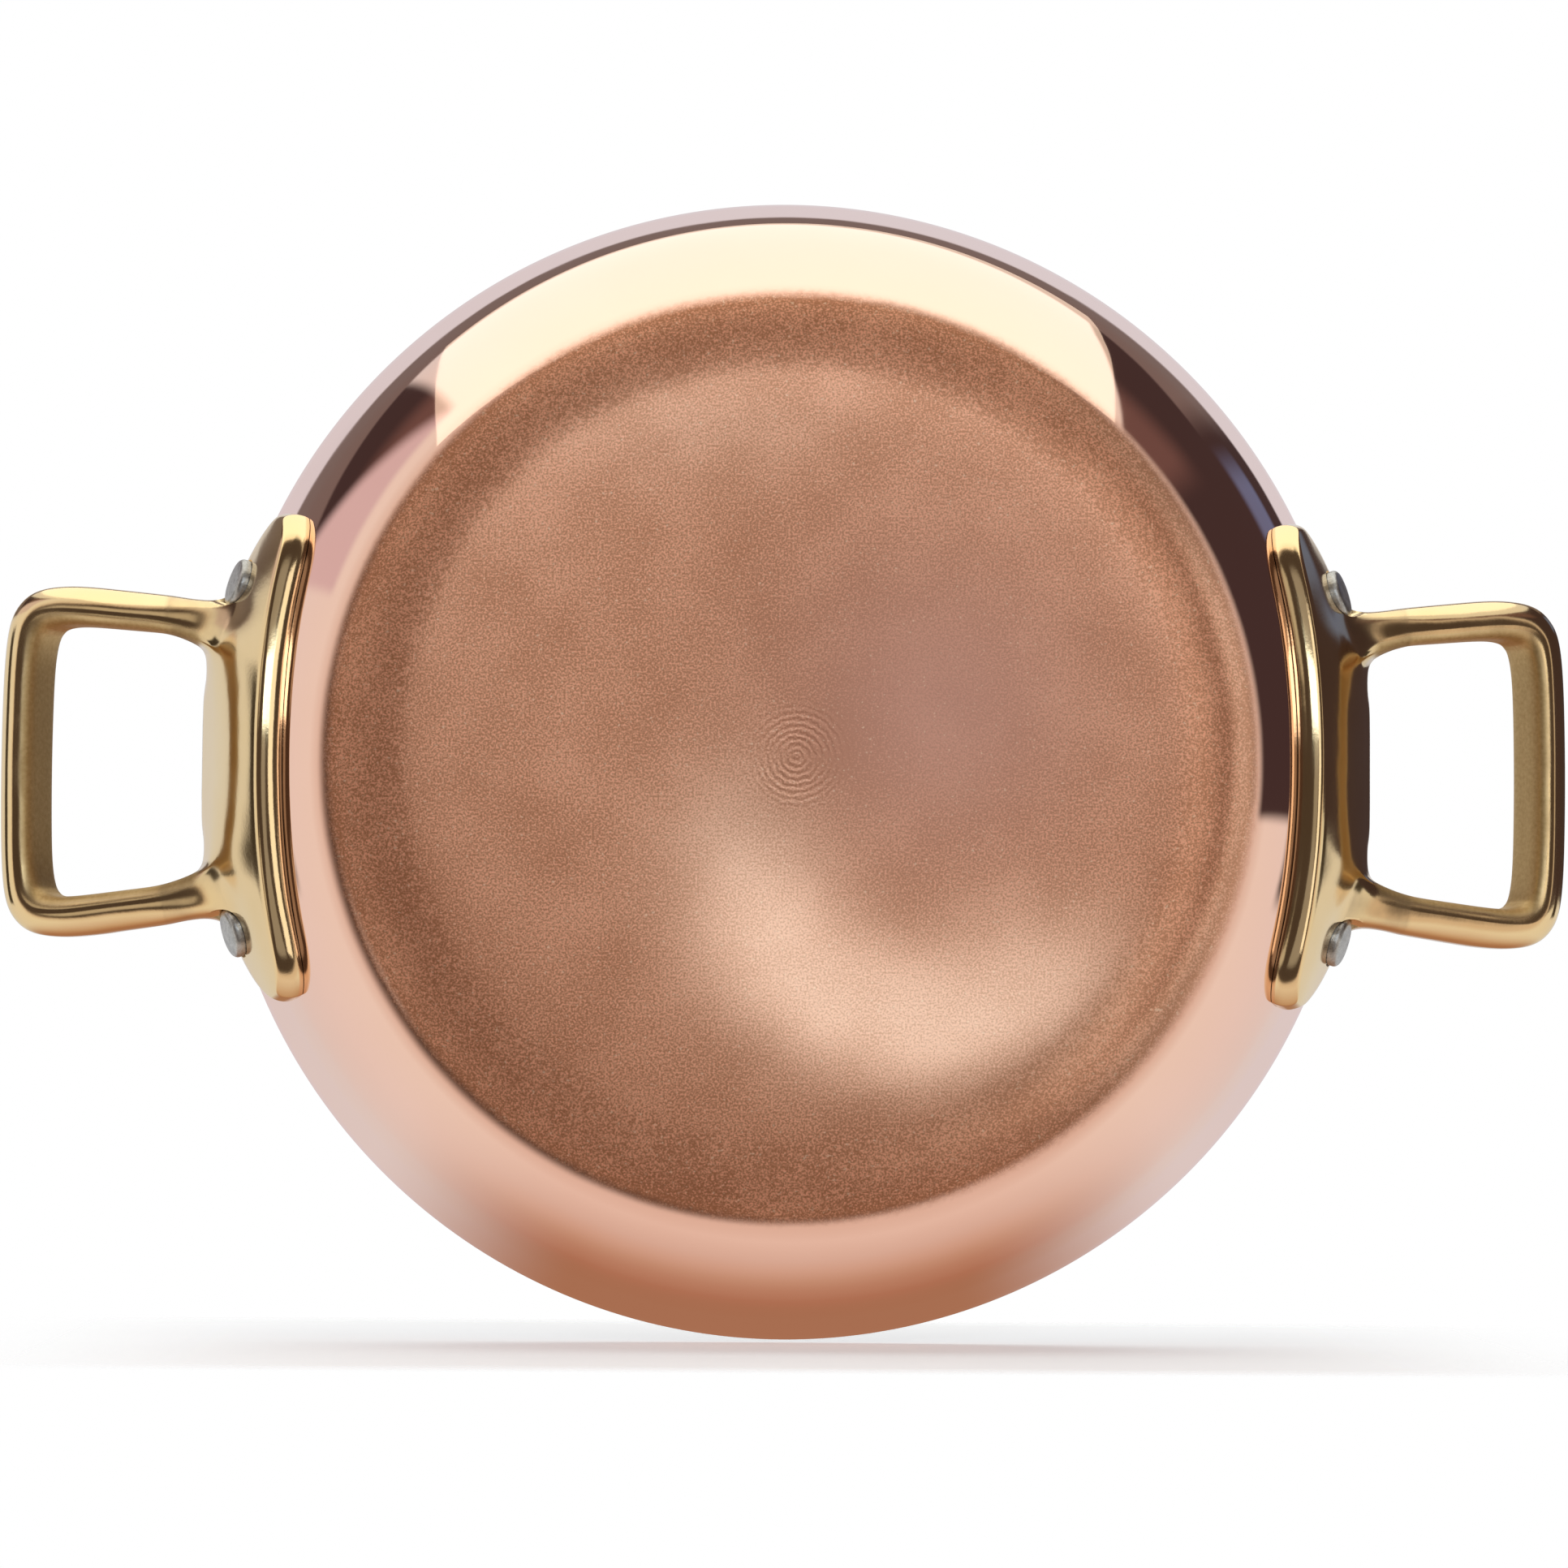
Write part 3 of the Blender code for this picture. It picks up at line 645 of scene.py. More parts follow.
# %% Node trees that are written down
class Finish:
    """A node tree under construction."""

    def __init__(self, tree):
        self.tree = tree
        tree.nodes.clear()

    def feed(self, socket, value):
        """Link a signal to a socket, or set the socket's own value."""
        if isinstance(value, Signal):
            self.tree.links.new(value.socket, socket)
        elif socket.type == "RGBA" and len(value) == 3:
            socket.default_value = (*value, 1.0)
        else:
            socket.default_value = value

    def add(self, kind, settings=None, values=None, output=0):
        """Add a node: its settings first, a ramp's stops among them, and then its inputs."""
        node = self.tree.nodes.new("ShaderNode" + kind)
        for key, value in (settings or {}).items():
            if key == "stops":
                while len(node.color_ramp.elements) < len(value):
                    node.color_ramp.elements.new(1.0)
                for stop, (place, colour) in zip(node.color_ramp.elements, value):
                    stop.position = place
                    stop.color = (*colour, 1.0)
            else:
                setattr(node, key, value)
        for key, value in (values or {}).items():
            self.feed(node.inputs[key], value)
        return Signal(self, node.outputs[output])

    def ease(self, value, start, end):
        """0 up to start, 1 from end on, with a soft step between them."""
        settings = {"interpolation_type": "SMOOTHSTEP", "clamp": True}
        return self.add("MapRange", settings, {"Value": value, "From Min": start, "From Max": end})

    def between(self, value, rise, fall):
        """0 before the rise, 1 from there to the fall, and 0 after it."""
        return self.ease(value, *rise) * (1 - self.ease(value, *fall))

    def band(self, value, start, end, soft):
        """1 between two values, with soft ends."""
        return self.between(value, (start - soft, start + soft), (end - soft, end + soft))

    def bell(self, value):
        """Bell curve: 1 at 0 and about a third at 1."""
        return (value * value * -1.0).maths("EXPONENT")

    def mix(self, share, first, second):
        """Colour between two, by a share."""
        return self.add("Mix", {"data_type": "RGBA"}, {0: share, 6: first, 7: second}, 2)

    def place(self):
        """Position in the pan's own frame, as a vector and as its three numbers."""
        spot = self.add("TexCoord", output="Object")
        parts = [self.add("SeparateXYZ", values={0: spot}, output=axis) for axis in range(3)]
        return spot, parts

    def noise(self, spot, size, detail=3.0, roughness=0.5):
        """Cloudy pattern whose lumps are about that size, in metres."""
        return self.add("TexNoise", values={"Vector": spot, "Scale": 1 / size, "Detail": detail,
                                            "Roughness": roughness})

    def bump(self, height, distance, strength=1.0, normal=None):
        """Normal of a surface that a height between 0 and 1 raises by a distance."""
        values = {"Height": height, "Distance": distance, "Strength": strength}
        if normal:
            values["Normal"] = normal
        return self.add("Bump", values=values)

    def metal(self, **values):
        """Principled metal; a key's underscores stand for the spaces of a socket's name."""
        return self.add("BsdfPrincipled", values={"Metallic": 1.0, **{
            key.replace("_", " "): value for key, value in values.items()}})

    def output(self, shader, kind="OutputMaterial"):
        """End the tree."""
        end = self.tree.nodes.new("ShaderNode" + kind)
        self.tree.links.new(shader.socket, end.inputs["Surface"])


def new_finish(name):
    """Material with an empty node tree."""
    material = bpy.data.materials.new(name)
    material.use_nodes = True
    print("finish:", name)
    return material, Finish(material.node_tree)


print("methods of a finish:", len([name for name in vars(Finish) if not name.startswith("_")]))

# %% [markdown]
# ## Copper
# The wall is polished like a mirror, so nearly all it shows is the studio. The corner runs into the
# straight wall with a long ease, too slight to model, so a bump gives it to the normals alone.

# %% Polished wall
POLISHED_COPPER = ((0.93, 0.62, 0.52), (0.95, 0.65, 0.555))
SMEAR_SIZE = 0.018
SMEARED = (0.45, 0.8)
CLEAN_ROUGHNESS = 0.035
SMEAR_ROUGHNESS = 0.04
EASE_HEIGHTS = (0.014, 0.028)
EASE_DEPTH = 0.00043
RIPPLE_SIZE = 0.012
RIPPLE_DEPTH = 0.00002


def polished_wall(finish, spot, z):
    """Mirror copper with a few smears."""
    smear = finish.noise(spot, SMEAR_SIZE, 4.0)
    long_ease = finish.bump(finish.ease(z, *EASE_HEIGHTS), EASE_DEPTH)
    ripple = finish.noise(spot, RIPPLE_SIZE, 1.0)
    return finish.metal(Base_Color=finish.mix(smear, *POLISHED_COPPER),
                        Roughness=CLEAN_ROUGHNESS + finish.ease(smear, *SMEARED) * SMEAR_ROUGHNESS,
                        Normal=finish.bump(ripple, RIPPLE_DEPTH, normal=long_ease))


print("long ease in mm:", [round(height * 1000) for height in EASE_HEIGHTS])

# %% [markdown]
# The bottom isn't quite flat. It is dished by a hair, off the centre, and a crescent of it leans
# towards the camera lamp, as its right edge does towards the side lamp. Bumps make the broad forms,
# and the two leans are a small vector that is added to the normal.

# %% Uneven form of the bottom
Patch = namedtuple("Patch", "x y spread_x spread_y share", defaults=(1.0,))
DISH = Patch(0.0172, 0.0044, 0.052, 0.052)
DISH_DEPTH = 0.0022
HEEL = (0.057, 0.078)
HEEL_DEPTH = 0.0006
ARC_CENTRE = (0.0236, 0.0092)
ARC_RADIUS = 0.0353
ARC_WIDTH = 0.0140
ARC_TOWARDS = (-0.19, 0.98)
ARC_ENDS = (0.0, 0.95)
ARC_LEAN = 0.115
RIGHT_EDGE = (0.0725, 0.0765)
RIGHT_SIDE = (0.030, 0.068)
RIGHT_EDGE_LEAN = 0.27
NEVER_ZERO = 0.000001


def soft_patch(finish, x, y, shape):
    """Soft patch of the bottom, strongest in its middle."""
    across = finish.bell((x - shape.x) / shape.spread_x)
    return across * finish.bell((y - shape.y) / shape.spread_y) * shape.share


def crescent(finish, x, y):
    """Soft arc that fades out at both ends."""
    off_x, off_y = x - ARC_CENTRE[0], y - ARC_CENTRE[1]
    distance = (off_x * off_x + off_y * off_y + NEVER_ZERO) ** 0.5
    below = (off_x * ARC_TOWARDS[0] + off_y * ARC_TOWARDS[1]) / distance
    return finish.bell((distance - ARC_RADIUS) / ARC_WIDTH) * finish.ease(below, *ARC_ENDS)


def uneven_form(finish, x, y, arc, right_edge):
    """Normal of the bottom without its grain."""
    radius = (x * x + y * y) ** 0.5
    form = finish.bump(1 - soft_patch(finish, x, y, DISH), DISH_DEPTH)
    form = finish.bump(1 - finish.ease(radius, *HEEL), HEEL_DEPTH, normal=form)
    leans = {"X": right_edge * -RIGHT_EDGE_LEAN, "Y": arc * -ARC_LEAN}
    lean = finish.add("CombineXYZ", values=leans)
    form = finish.add("VectorMath", {"operation": "ADD"}, {0: form, 1: lean})
    return finish.add("VectorMath", {"operation": "NORMALIZE"}, {0: form})


print("crescent's radius in mm:", round(ARC_RADIUS * 1000, 1))

# %% [markdown]
# The bottom was blasted with fine beads: the metal is matt and browner, with a fine grain and turning
# marks round the centre. Painted highlight is lighter copper along the crescent, in two patches and on
# the right edge; painted glints are bright specks; painted shade is a pinkish patch and a dark spot.
# Its shine still has some direction, so a sheen and a much rougher haze are mixed.

# %% Blasted bottom
BLASTED_COPPER = ((0.60, 0.280, 0.156), (0.98, 0.575, 0.395))
# Painted shade: a pinkish colour for one patch of the bottom.
PAINTED_SHADE_MAUVE = (0.78, 0.45, 0.37)
# Painted highlight: lighter copper along the crescent, in two patches and on the right edge.
PAINTED_HIGHLIGHT_COPPER = (0.97, 0.68, 0.51)
# Painted glints: bright specks.
PAINTED_GLINT_COPPER = (1.0, 0.80, 0.62)
# Where two patches of painted highlight lie.
PAINTED_UPPER_HIGHLIGHT = Patch(-0.0157, -0.0557, 0.024, 0.0095, 0.3)
PAINTED_INNER_HIGHLIGHT = Patch(-0.0075, 0.0105, 0.014, 0.014, 0.5)
# Painted shade: a pinkish patch.
PAINTED_SHADE_PATCH = Patch(0.024, -0.009, 0.026, 0.026, 0.7)
# Painted shade: a dark spot.
PAINTED_SHADE_SPOT = Patch(0.0070, -0.0035, 0.0085, 0.0085, 0.13)
# How much painted highlight the right edge gets.
RIGHT_EDGE_HIGHLIGHT_SHARE = 0.5
BORDER_SHARE = 0.04
SHADE_RANGE = (0.39, 0.63)
SPIN_CENTRE = (0.0006, 0.0004)
RING_PITCH = 0.0011
RING_WANDER = 0.0012
RING_ZONE = (0.004, 0.011)
RING_HEIGHT = 0.9
GRAIN_SIZE = 0.00036
GRAIN_HEIGHT = 0.6
CLOUD_SIZE = 0.016
# Size, range and share of the painted glints.
GLINT_SIZE = 0.0006
GLINT_RANGE = (0.66, 0.76)
PAINTED_GLINT_SHARE = 0.6
SHEEN_ROUGHNESS = 0.29
SHEEN_GRAIN_DEPTH = 0.000017
HAZE_ROUGHNESS = 0.72
HAZE_GRAIN_DEPTH = 0.00005
HAZE_SHARE = 0.58


def blasted_bottom(finish, spot, x, y, wander, border):
    """Matt copper: its colour with painted highlight, glints and shade, its fine relief, and a sheen
    and a haze of both.
    """
    arc = crescent(finish, x, y)
    radius = (x * x + y * y) ** 0.5
    right_edge = finish.ease(radius, *RIGHT_EDGE) * finish.ease(x, *RIGHT_SIDE)
    form = uneven_form(finish, x, y, arc, right_edge)
    # Painted highlight along the crescent, in two patches and on the right edge; it also turns the mix
    # towards the sheen.
    glow = arc + soft_patch(finish, x, y, PAINTED_UPPER_HIGHLIGHT) + soft_patch(finish, x, y, PAINTED_INNER_HIGHLIGHT)
    glow = glow + right_edge * RIGHT_EDGE_HIGHLIGHT_SHARE

    off_x, off_y = x - SPIN_CENTRE[0], y - SPIN_CENTRE[1]
    spin = (off_x * off_x + off_y * off_y) ** 0.5
    grain = finish.noise(spot, GRAIN_SIZE, 2.0, 0.6)
    cloud = finish.noise(spot, CLOUD_SIZE, 3.0)
    rings = ((spin + (cloud + wander) * RING_WANDER) * (math.tau / RING_PITCH)).maths("SINE")
    near_centre = 1 - finish.ease(spin, *RING_ZONE)
    height = grain * GRAIN_HEIGHT + rings * near_centre * RING_HEIGHT

    # Painted shade in a dark spot; towards the blasted edge the copper is simply darker.
    darker_edge_and_painted_shade = border * BORDER_SHARE + soft_patch(finish, x, y, PAINTED_SHADE_SPOT)
    shade = finish.ease(grain * 0.8 + cloud * 0.2 - darker_edge_and_painted_shade, *SHADE_RANGE)
    # Painted shade in a pinkish patch.
    painted_mauve_shade = soft_patch(finish, x, y, PAINTED_SHADE_PATCH)
    colour = finish.mix(painted_mauve_shade, finish.mix(shade, *BLASTED_COPPER), PAINTED_SHADE_MAUVE)
    # Lighter copper where the painted highlight lies.
    colour = finish.mix(glow * (0.35 + shade * 0.5), colour, PAINTED_HIGHLIGHT_COPPER)
    # Painted glints: bright specks.
    painted_glint = finish.ease(finish.noise(spot, GLINT_SIZE, 1.0), *GLINT_RANGE)
    colour = finish.mix(painted_glint * PAINTED_GLINT_SHARE, colour, PAINTED_GLINT_COPPER)

    sheen = finish.metal(Base_Color=colour, Roughness=SHEEN_ROUGHNESS + grain * 0.06, Anisotropic=0.3,
                         Normal=finish.bump(height, SHEEN_GRAIN_DEPTH, normal=form))
    haze = finish.metal(Base_Color=colour, Roughness=HAZE_ROUGHNESS + grain * 0.1,
                        Normal=finish.bump(height, HAZE_GRAIN_DEPTH, normal=form))
    share = HAZE_SHARE + grain * 0.2 - glow * 0.25
    return finish.add("MixShader", values={0: share, 1: sheen, 2: haze})


print("turning marks in mm:", round(RING_PITCH * 1000, 1))

# %% [markdown]
# Both finishes are on one sheet of metal, so one material holds them, mixed by a mask on the distance
# from the pan's axis. The blasted circle reaches a little way up the corner, and its edge is slightly
# ragged.

# %% Copper finish
BLAST_RADIUS = 0.0782
BLAST_EDGE = 0.0013
BLAST_BORDER = 0.0026
BLAST_WANDER = 0.0010
WANDER_SIZE = 0.0012


def copper_finish():
    """Mirror-polished wall and bead-blasted bottom."""
    material, finish = new_finish("copper_polished_and_blasted")
    spot, (x, y, z) = finish.place()
    wander = finish.noise(spot, WANDER_SIZE, 3.0)
    edge = (x * x + y * y) ** 0.5 + (wander - 0.5) * BLAST_WANDER
    blasted = 1 - finish.ease(edge, BLAST_RADIUS - BLAST_EDGE, BLAST_RADIUS + BLAST_EDGE)
    border = finish.ease(edge, BLAST_RADIUS - BLAST_BORDER, BLAST_RADIUS - BLAST_EDGE)
    wall = polished_wall(finish, spot, z)
    bottom = blasted_bottom(finish, spot, x, y, wander, border)
    finish.output(finish.add("MixShader", values={0: blasted, 1: wall, 2: bottom}))
    return material


body.data.materials.append(copper_finish())

# %% [markdown]
# ## Stainless steel
# The lining is brushed while it turns, so its fine scratches are circles. The scratches are a noise
# that is read by radius only, and the constant anisotropy on the shader draws the light out across
# them, which gives the two bright fans that such pans show.

# %% Lining finish
STEEL = ((0.50, 0.495, 0.485), (0.72, 0.71, 0.695))
SCRATCHES_PER_METRE = 2600.0
SCRATCH_DEPTH = 0.00001
LINING_SMEAR_SIZE = 0.03


def lining_finish():
    """Steel that was brushed in circles."""
    material, finish = new_finish("steel_brushed_in_circles")
    spot, (x, y, z) = finish.place()
    radius = (x * x + y * y) ** 0.5
    along = radius + z
    scratches = finish.add("TexNoise", {"noise_dimensions": "1D"},
                           {"W": along * SCRATCHES_PER_METRE, "Scale": 1.0, "Detail": 4.0,
                            "Roughness": 0.6})
    smear = finish.noise(spot, LINING_SMEAR_SIZE, 3.0)
    tone = finish.ease(scratches * 0.7 + smear * 0.3, 0.25, 0.75)
    shader = finish.metal(Base_Color=finish.mix(tone, *STEEL),
                          Roughness=0.22 + scratches * 0.12,
                          Anisotropic=0.6,
                          Normal=finish.bump(scratches, SCRATCH_DEPTH))
    finish.output(shader)
    return material


lining.data.materials.append(lining_finish())

# %% [markdown]
# ## Brass
# The castings are polished by hand on a wheel, so their mirror is never quite even: the reflections
# wander. Inside the loop, where the wheel doesn't reach, the metal is browner and rougher, and in the
# corner of each arm a dark rest of polish stays behind.

# %% Brass finish
BRASS = ((0.84, 0.62, 0.33), (0.90, 0.69, 0.42))
BRASS_INSIDE = (0.48, 0.32, 0.135)
BRASS_DIRT = (0.13, 0.09, 0.06)
BRASS_SMEAR_SIZE = 0.011
WAVE_SIZE = 0.010
WAVE_DEPTH = 0.00012
CAST_GRAIN_SIZE = 0.0007
CAST_GRAIN_DEPTH = 0.00004


def brass_finish():
    """Hand-polished cast brass."""
    material, finish = new_finish("brass_cast_and_polished")
    spot = finish.place()[0]
    finger_side = finish.add("Attribute", {"attribute_name": "finger_side"}, output="Fac")
    arm_root = finish.add("Attribute", {"attribute_name": "arm_root"}, output="Fac")
    smear = finish.noise(spot, BRASS_SMEAR_SIZE, 4.0)
    grain = finish.noise(spot, CAST_GRAIN_SIZE, 3.0, 0.6)
    inside = finish.ease(finger_side + (smear - 0.5) * 0.4, 0.45, 0.95)
    dirt = finish.ease(arm_root + (smear - 0.5) * 0.8, 0.85, 1.35) * 0.6
    colour = finish.mix(smear, *BRASS)
    colour = finish.mix(inside * (0.45 + grain * 0.7), colour, BRASS_INSIDE)
    colour = finish.mix(dirt, colour, BRASS_DIRT)
    roughness = 0.07 + smear * 0.08 + inside * 0.42 + dirt * 0.3
    normal = finish.bump(finish.noise(spot, WAVE_SIZE, 1.0), WAVE_DEPTH)
    normal = finish.bump(grain, CAST_GRAIN_DEPTH, 0.15 + inside * 0.6, normal)
    finish.output(finish.metal(Base_Color=colour, Roughness=roughness, Normal=normal))
    return material


brass = brass_finish()
for handle in handles.values():
    handle.data.materials.append(brass)

# %% [markdown]
# ## Rivet steel
# The heads are satin grey with small dents from the setting tool, so they stay duller than anything
# round them.

# %% Rivet finish
RIVET_GREY = ((0.36, 0.35, 0.34), (0.62, 0.61, 0.60))
DENT_SIZE = 0.0016
DENT_DEPTH = 0.00012
SATIN_SIZE = 0.0003


def rivet_finish():
    """Satin steel with small dents."""
    material, finish = new_finish("steel_satin_dented")
    spot = finish.place()[0]
    dents = finish.noise(spot, DENT_SIZE, 3.0, 0.6)
    satin = finish.noise(spot, SATIN_SIZE, 2.0)
    tone = finish.ease(dents * 0.6 + satin * 0.4, 0.30, 0.70)
    finish.output(finish.metal(Base_Color=finish.mix(tone, *RIVET_GREY),
                               Roughness=0.30 + dents * 0.2,
                               Normal=finish.bump(dents, DENT_DEPTH)))
    return material


rivet_steel = rivet_finish()
for rivet in rivets:
    rivet.data.materials.append(rivet_steel)

# %% [markdown]
# ## Studio
# Polished metal is a picture of the room round it. This room is a white tent that goes over into a
# warm, dark floor: the pan's shadow on the floor, painted into the room. The tent is the world: it is
# read by direction, with the turn round the line of sight and the angle off it, both in degrees. Turn
# 0 is right, 90 is up in the photograph and 180 is left; angle 0 is straight back to the camera, and
# 180 is straight on past the pan.

# %% Tent
TENT_RAMP = ((0, (0.74, 0.62, 0.52)), (62, (0.74, 0.62, 0.52)), (72, (0.87, 0.85, 0.78)),
             (100, (0.84, 0.83, 0.80)), (143, (0.76, 0.78, 0.78)), (152, (0.73, 0.74, 0.79)),
             (180, (0.73, 0.74, 0.79)))
# Painted shadow: the floor's warm, dark colours are the pan's shadow on it.
PAINTED_SHADOW_FLOOR_RAMP = ((0, (0.77, 0.65, 0.56)), (62, (0.77, 0.65, 0.56)), (72, (0.82, 0.72, 0.64)),
              (87, (0.73, 0.61, 0.53)), (97, (0.67, 0.51, 0.41)), (107, (0.58, 0.40, 0.29)),
              (117, (0.51, 0.31, 0.21)), (128, (0.45, 0.24, 0.15)), (142, (0.41, 0.22, 0.13)),
              (180, (0.41, 0.22, 0.13)))
FLOOR_TURN = ((-140.0, -112.0), (-68.0, -38.0))
STRAIGHT_ON = 0.0001


def directions(finish):
    """Angle off the line of sight, turn round it, and how far a direction lies to the right."""
    towards = finish.add("TexCoord", output="Generated")
    x, y, z = [finish.add("SeparateXYZ", values={0: towards}, output=axis) for axis in range(3)]
    off = (z * -1.0).maths("ARCCOSINE") * math.degrees(1)
    turn = (y * -1.0).maths("ARCTAN2", x) * math.degrees(1)
    return off, turn, x / (x * x + y * y + STRAIGHT_ON) ** 0.5


def ramp(finish, off, stops):
    """Colour by the angle off the line of sight."""
    stops = [(angle / 180, colour) for angle, colour in stops]
    return finish.add("ValToRGB", {"stops": stops}, {0: off / 180.0})


def tent(finish, off, turn):
    """Bright tent that goes over into the floor, with the pan's shadow painted on it dark and warm."""
    return finish.mix(finish.between(turn, *FLOOR_TURN), ramp(finish, off, TENT_RAMP),
                      ramp(finish, off, PAINTED_SHADOW_FLOOR_RAMP))


print("stops of the tent and the floor:", len(TENT_RAMP), len(PAINTED_SHADOW_FLOOR_RAMP))

# %% [markdown]
# Black cards stand in the tent, because a mirror needs dark edges to read as metal. The big one on
# the right ends where the wide lamp begins, and is redder near the camera and bluer far from it. The
# one on the left is pale at its lower end. Two narrow ones stand level with the pan.

# %% Cards
Area = namedtuple("Area", "turn turn_soft off off_soft")
CARD = (0.060, 0.040, 0.040)
CARD_RED = (0.16, 0.095, 0.085)
CARD_BLUE = (0.15, 0.19, 0.33)
SIDE_CARD = (0.05, 0.04, 0.03)
PALE_CARD = (0.70, 0.60, 0.63)
LEFT_SIDE_GAP = (-168.0, 168.0)
RIGHT_SIDE_TURN = (-12.0, 0.0)
SIDE_OFF = (93.0, 112.0)
RIGHT_AREA = Area((-3.0, 80.0), 1.0, (66.0, 160.0), 3.0)
LAMP_END = (46.6, 47.4)
LAMP_END_SLANT = 0.166
LAMP_END_LEVEL = 68.0
RED_TURN = (38.0, 60.0)
RED_FADE = (78.0, 98.0)
BLUE_AREA = Area((22.0, 37.0), 3.0, (120.0, 139.0), 4.0)
LEFT_AREA = Area((131.0, 157.0), 1.0, (78.0, 148.0), 3.0)
PALE_SLANT = -1.7
PALE_FADE = (72.0, 86.0)
LEFT_RED_FADE = (92.0, 110.0)


def within(finish, off, turn, area):
    """1 inside an area of directions."""
    turned = finish.band(turn, *area.turn, area.turn_soft)
    return turned * finish.band(off, *area.off, area.off_soft)


def with_cards(finish, colour, off, turn):
    """The tent with its cards."""
    sides = (1 - finish.band(turn, *LEFT_SIDE_GAP, 2.0)) + finish.band(turn, *RIGHT_SIDE_TURN, 2.0)
    colour = finish.mix(sides * finish.band(off, *SIDE_OFF, 3.0), colour, SIDE_CARD)
    lamp_end = turn - (off - LAMP_END_LEVEL) * LAMP_END_SLANT
    right = within(finish, off, turn, RIGHT_AREA) * (1 - finish.ease(lamp_end, *LAMP_END))
    red = finish.band(turn, *RED_TURN, 3.0) * (1 - finish.ease(off, *RED_FADE))
    card = finish.mix(red, CARD, CARD_RED)
    card = finish.mix(within(finish, off, turn, BLUE_AREA), card, CARD_BLUE)
    colour = finish.mix(right, colour, card)
    upper = finish.ease(off + (turn - LEFT_AREA.turn[0]) * PALE_SLANT, *PALE_FADE)
    card = finish.mix(1 - finish.ease(off, *LEFT_RED_FADE), CARD, CARD_RED)
    card = finish.mix(upper, PALE_CARD, card)
    return finish.mix(within(finish, off, turn, LEFT_AREA), colour, card)


print("right card's turn and angle:", RIGHT_AREA.turn, RIGHT_AREA.off)

# %% [markdown]
# The far end of the tent closes with a dark line, which is the thin one along the top of the rim.
# Its near border bends, and its far border slopes a little to the left, so both are formulas.

# %% Dark line
HORIZON = (0.20, 0.165, 0.155)
LINE_TURN = ((40.0, 46.0), (150.0, 162.0))
LINE_MIDDLE = 95.0
LINE_NEAR = 139.0
LINE_BEND = 0.007
LINE_SOFT = (-1.5, 1.5)
RIM_FAR = 150.5
RIM_SLOPE_TURN = 105.0
RIM_SLOPE = 0.067
RIM_SOFT = (-1.6, 0.8)
RIM_TURN = ((24.0, 30.0), (158.0, 166.0))


def with_dark_line(finish, colour, off, turn):
    """The tent with the dark line at its far end."""
    rim_angle = RIM_FAR - (turn - RIM_SLOPE_TURN).maths("MAXIMUM", 0.0) * RIM_SLOPE
    past_rim = finish.ease(off - rim_angle, *RIM_SOFT)
    aside = turn - LINE_MIDDLE
    line_start = LINE_NEAR - aside * aside * LINE_BEND
    line = finish.ease(off - line_start, *LINE_SOFT) * (1 - past_rim)
    colour = finish.mix(line * finish.between(turn, *LINE_TURN), colour, HORIZON)
    return finish.mix(past_rim * finish.between(turn, *RIM_TURN), colour, TENT_RAMP[-1][1])


print("dark line in degrees:", LINE_NEAR, "to", RIM_FAR)

# %% [markdown]
# The side where the camera stands is dim, with a darker ring round it and a warm wall to its left.
# Rays that come straight from the camera see plain white instead of all this.

# %% Side of the camera
CAMERA_SIDE = (0.34, 0.315, 0.295)
DARK_RING = (0.075, 0.055, 0.045)
LEFT_WALL = (0.55, 0.50, 0.43)
TENT_START = 58.0
TENT_START_LEAN = 5.0
TENT_START_RIGHT = 8.0
RING_START = 36.0
RING_WIDER = 24.0
RING_SIDES = (0.45, 0.75)
SOFT_STEP = (-4.0, 4.0)
WALL_SIDE = ((-0.80, -0.90), (-0.955, -0.985))
WALL_OFF = (42.0, 57.0)


def with_camera_side(finish, colour, off, turn, sideways):
    """The tent with its opening for the camera."""
    right = finish.band(turn, *RIGHT_AREA.turn, 3.0)
    tent_start = TENT_START - sideways * TENT_START_LEAN + right * TENT_START_RIGHT
    ring_start = RING_START - finish.ease(sideways.maths("ABSOLUTE"), *RING_SIDES) * RING_WIDER
    nearer = finish.mix(finish.ease(off - ring_start, *SOFT_STEP), CAMERA_SIDE, DARK_RING)
    wall = finish.between(sideways, *WALL_SIDE) * finish.band(off, *WALL_OFF, 2.0)
    nearer = finish.mix(wall, nearer, LEFT_WALL)
    return finish.mix(finish.ease(off - tent_start, *SOFT_STEP), nearer, colour)


def studio_world():
    """World that shows the camera plain white and the metal a tent with cards."""
    world = bpy.data.worlds.new("studio_tent")
    world.use_nodes = True
    bpy.context.scene.world = world
    finish = Finish(world.node_tree)
    off, turn, sideways = directions(finish)
    colour = with_cards(finish, tent(finish, off, turn), off, turn)
    colour = with_dark_line(finish, colour, off, turn)
    colour = with_camera_side(finish, colour, off, turn, sideways)
    path = finish.tree.nodes.new("ShaderNodeLightPath")
    plain = Signal(finish, path.outputs["Is Camera Ray"])
    plain = (plain + Signal(finish, path.outputs["Is Transmission Ray"])).maths("MINIMUM", 1.0)
    shown = finish.mix(plain, colour, (1.0, 1.0, 1.0))
    finish.output(finish.add("Background", values={"Color": shown, "Strength": 1.0}), "OutputWorld")
    print("world nodes:", len(finish.tree.nodes))


studio_world()

# %% [markdown]
# The wide lamp is a flat area light that leans back over the pan. Its two ends make the sharp edges in
# the polished corner at the top of the picture, so its corners were worked out from where those edges
# are. A low cool lamp just above the camera lights the crescent on the bottom, and a tall strip to its
# right draws a bright line along every rounded edge of the brass. Lamps add their light to the tent
# behind them.

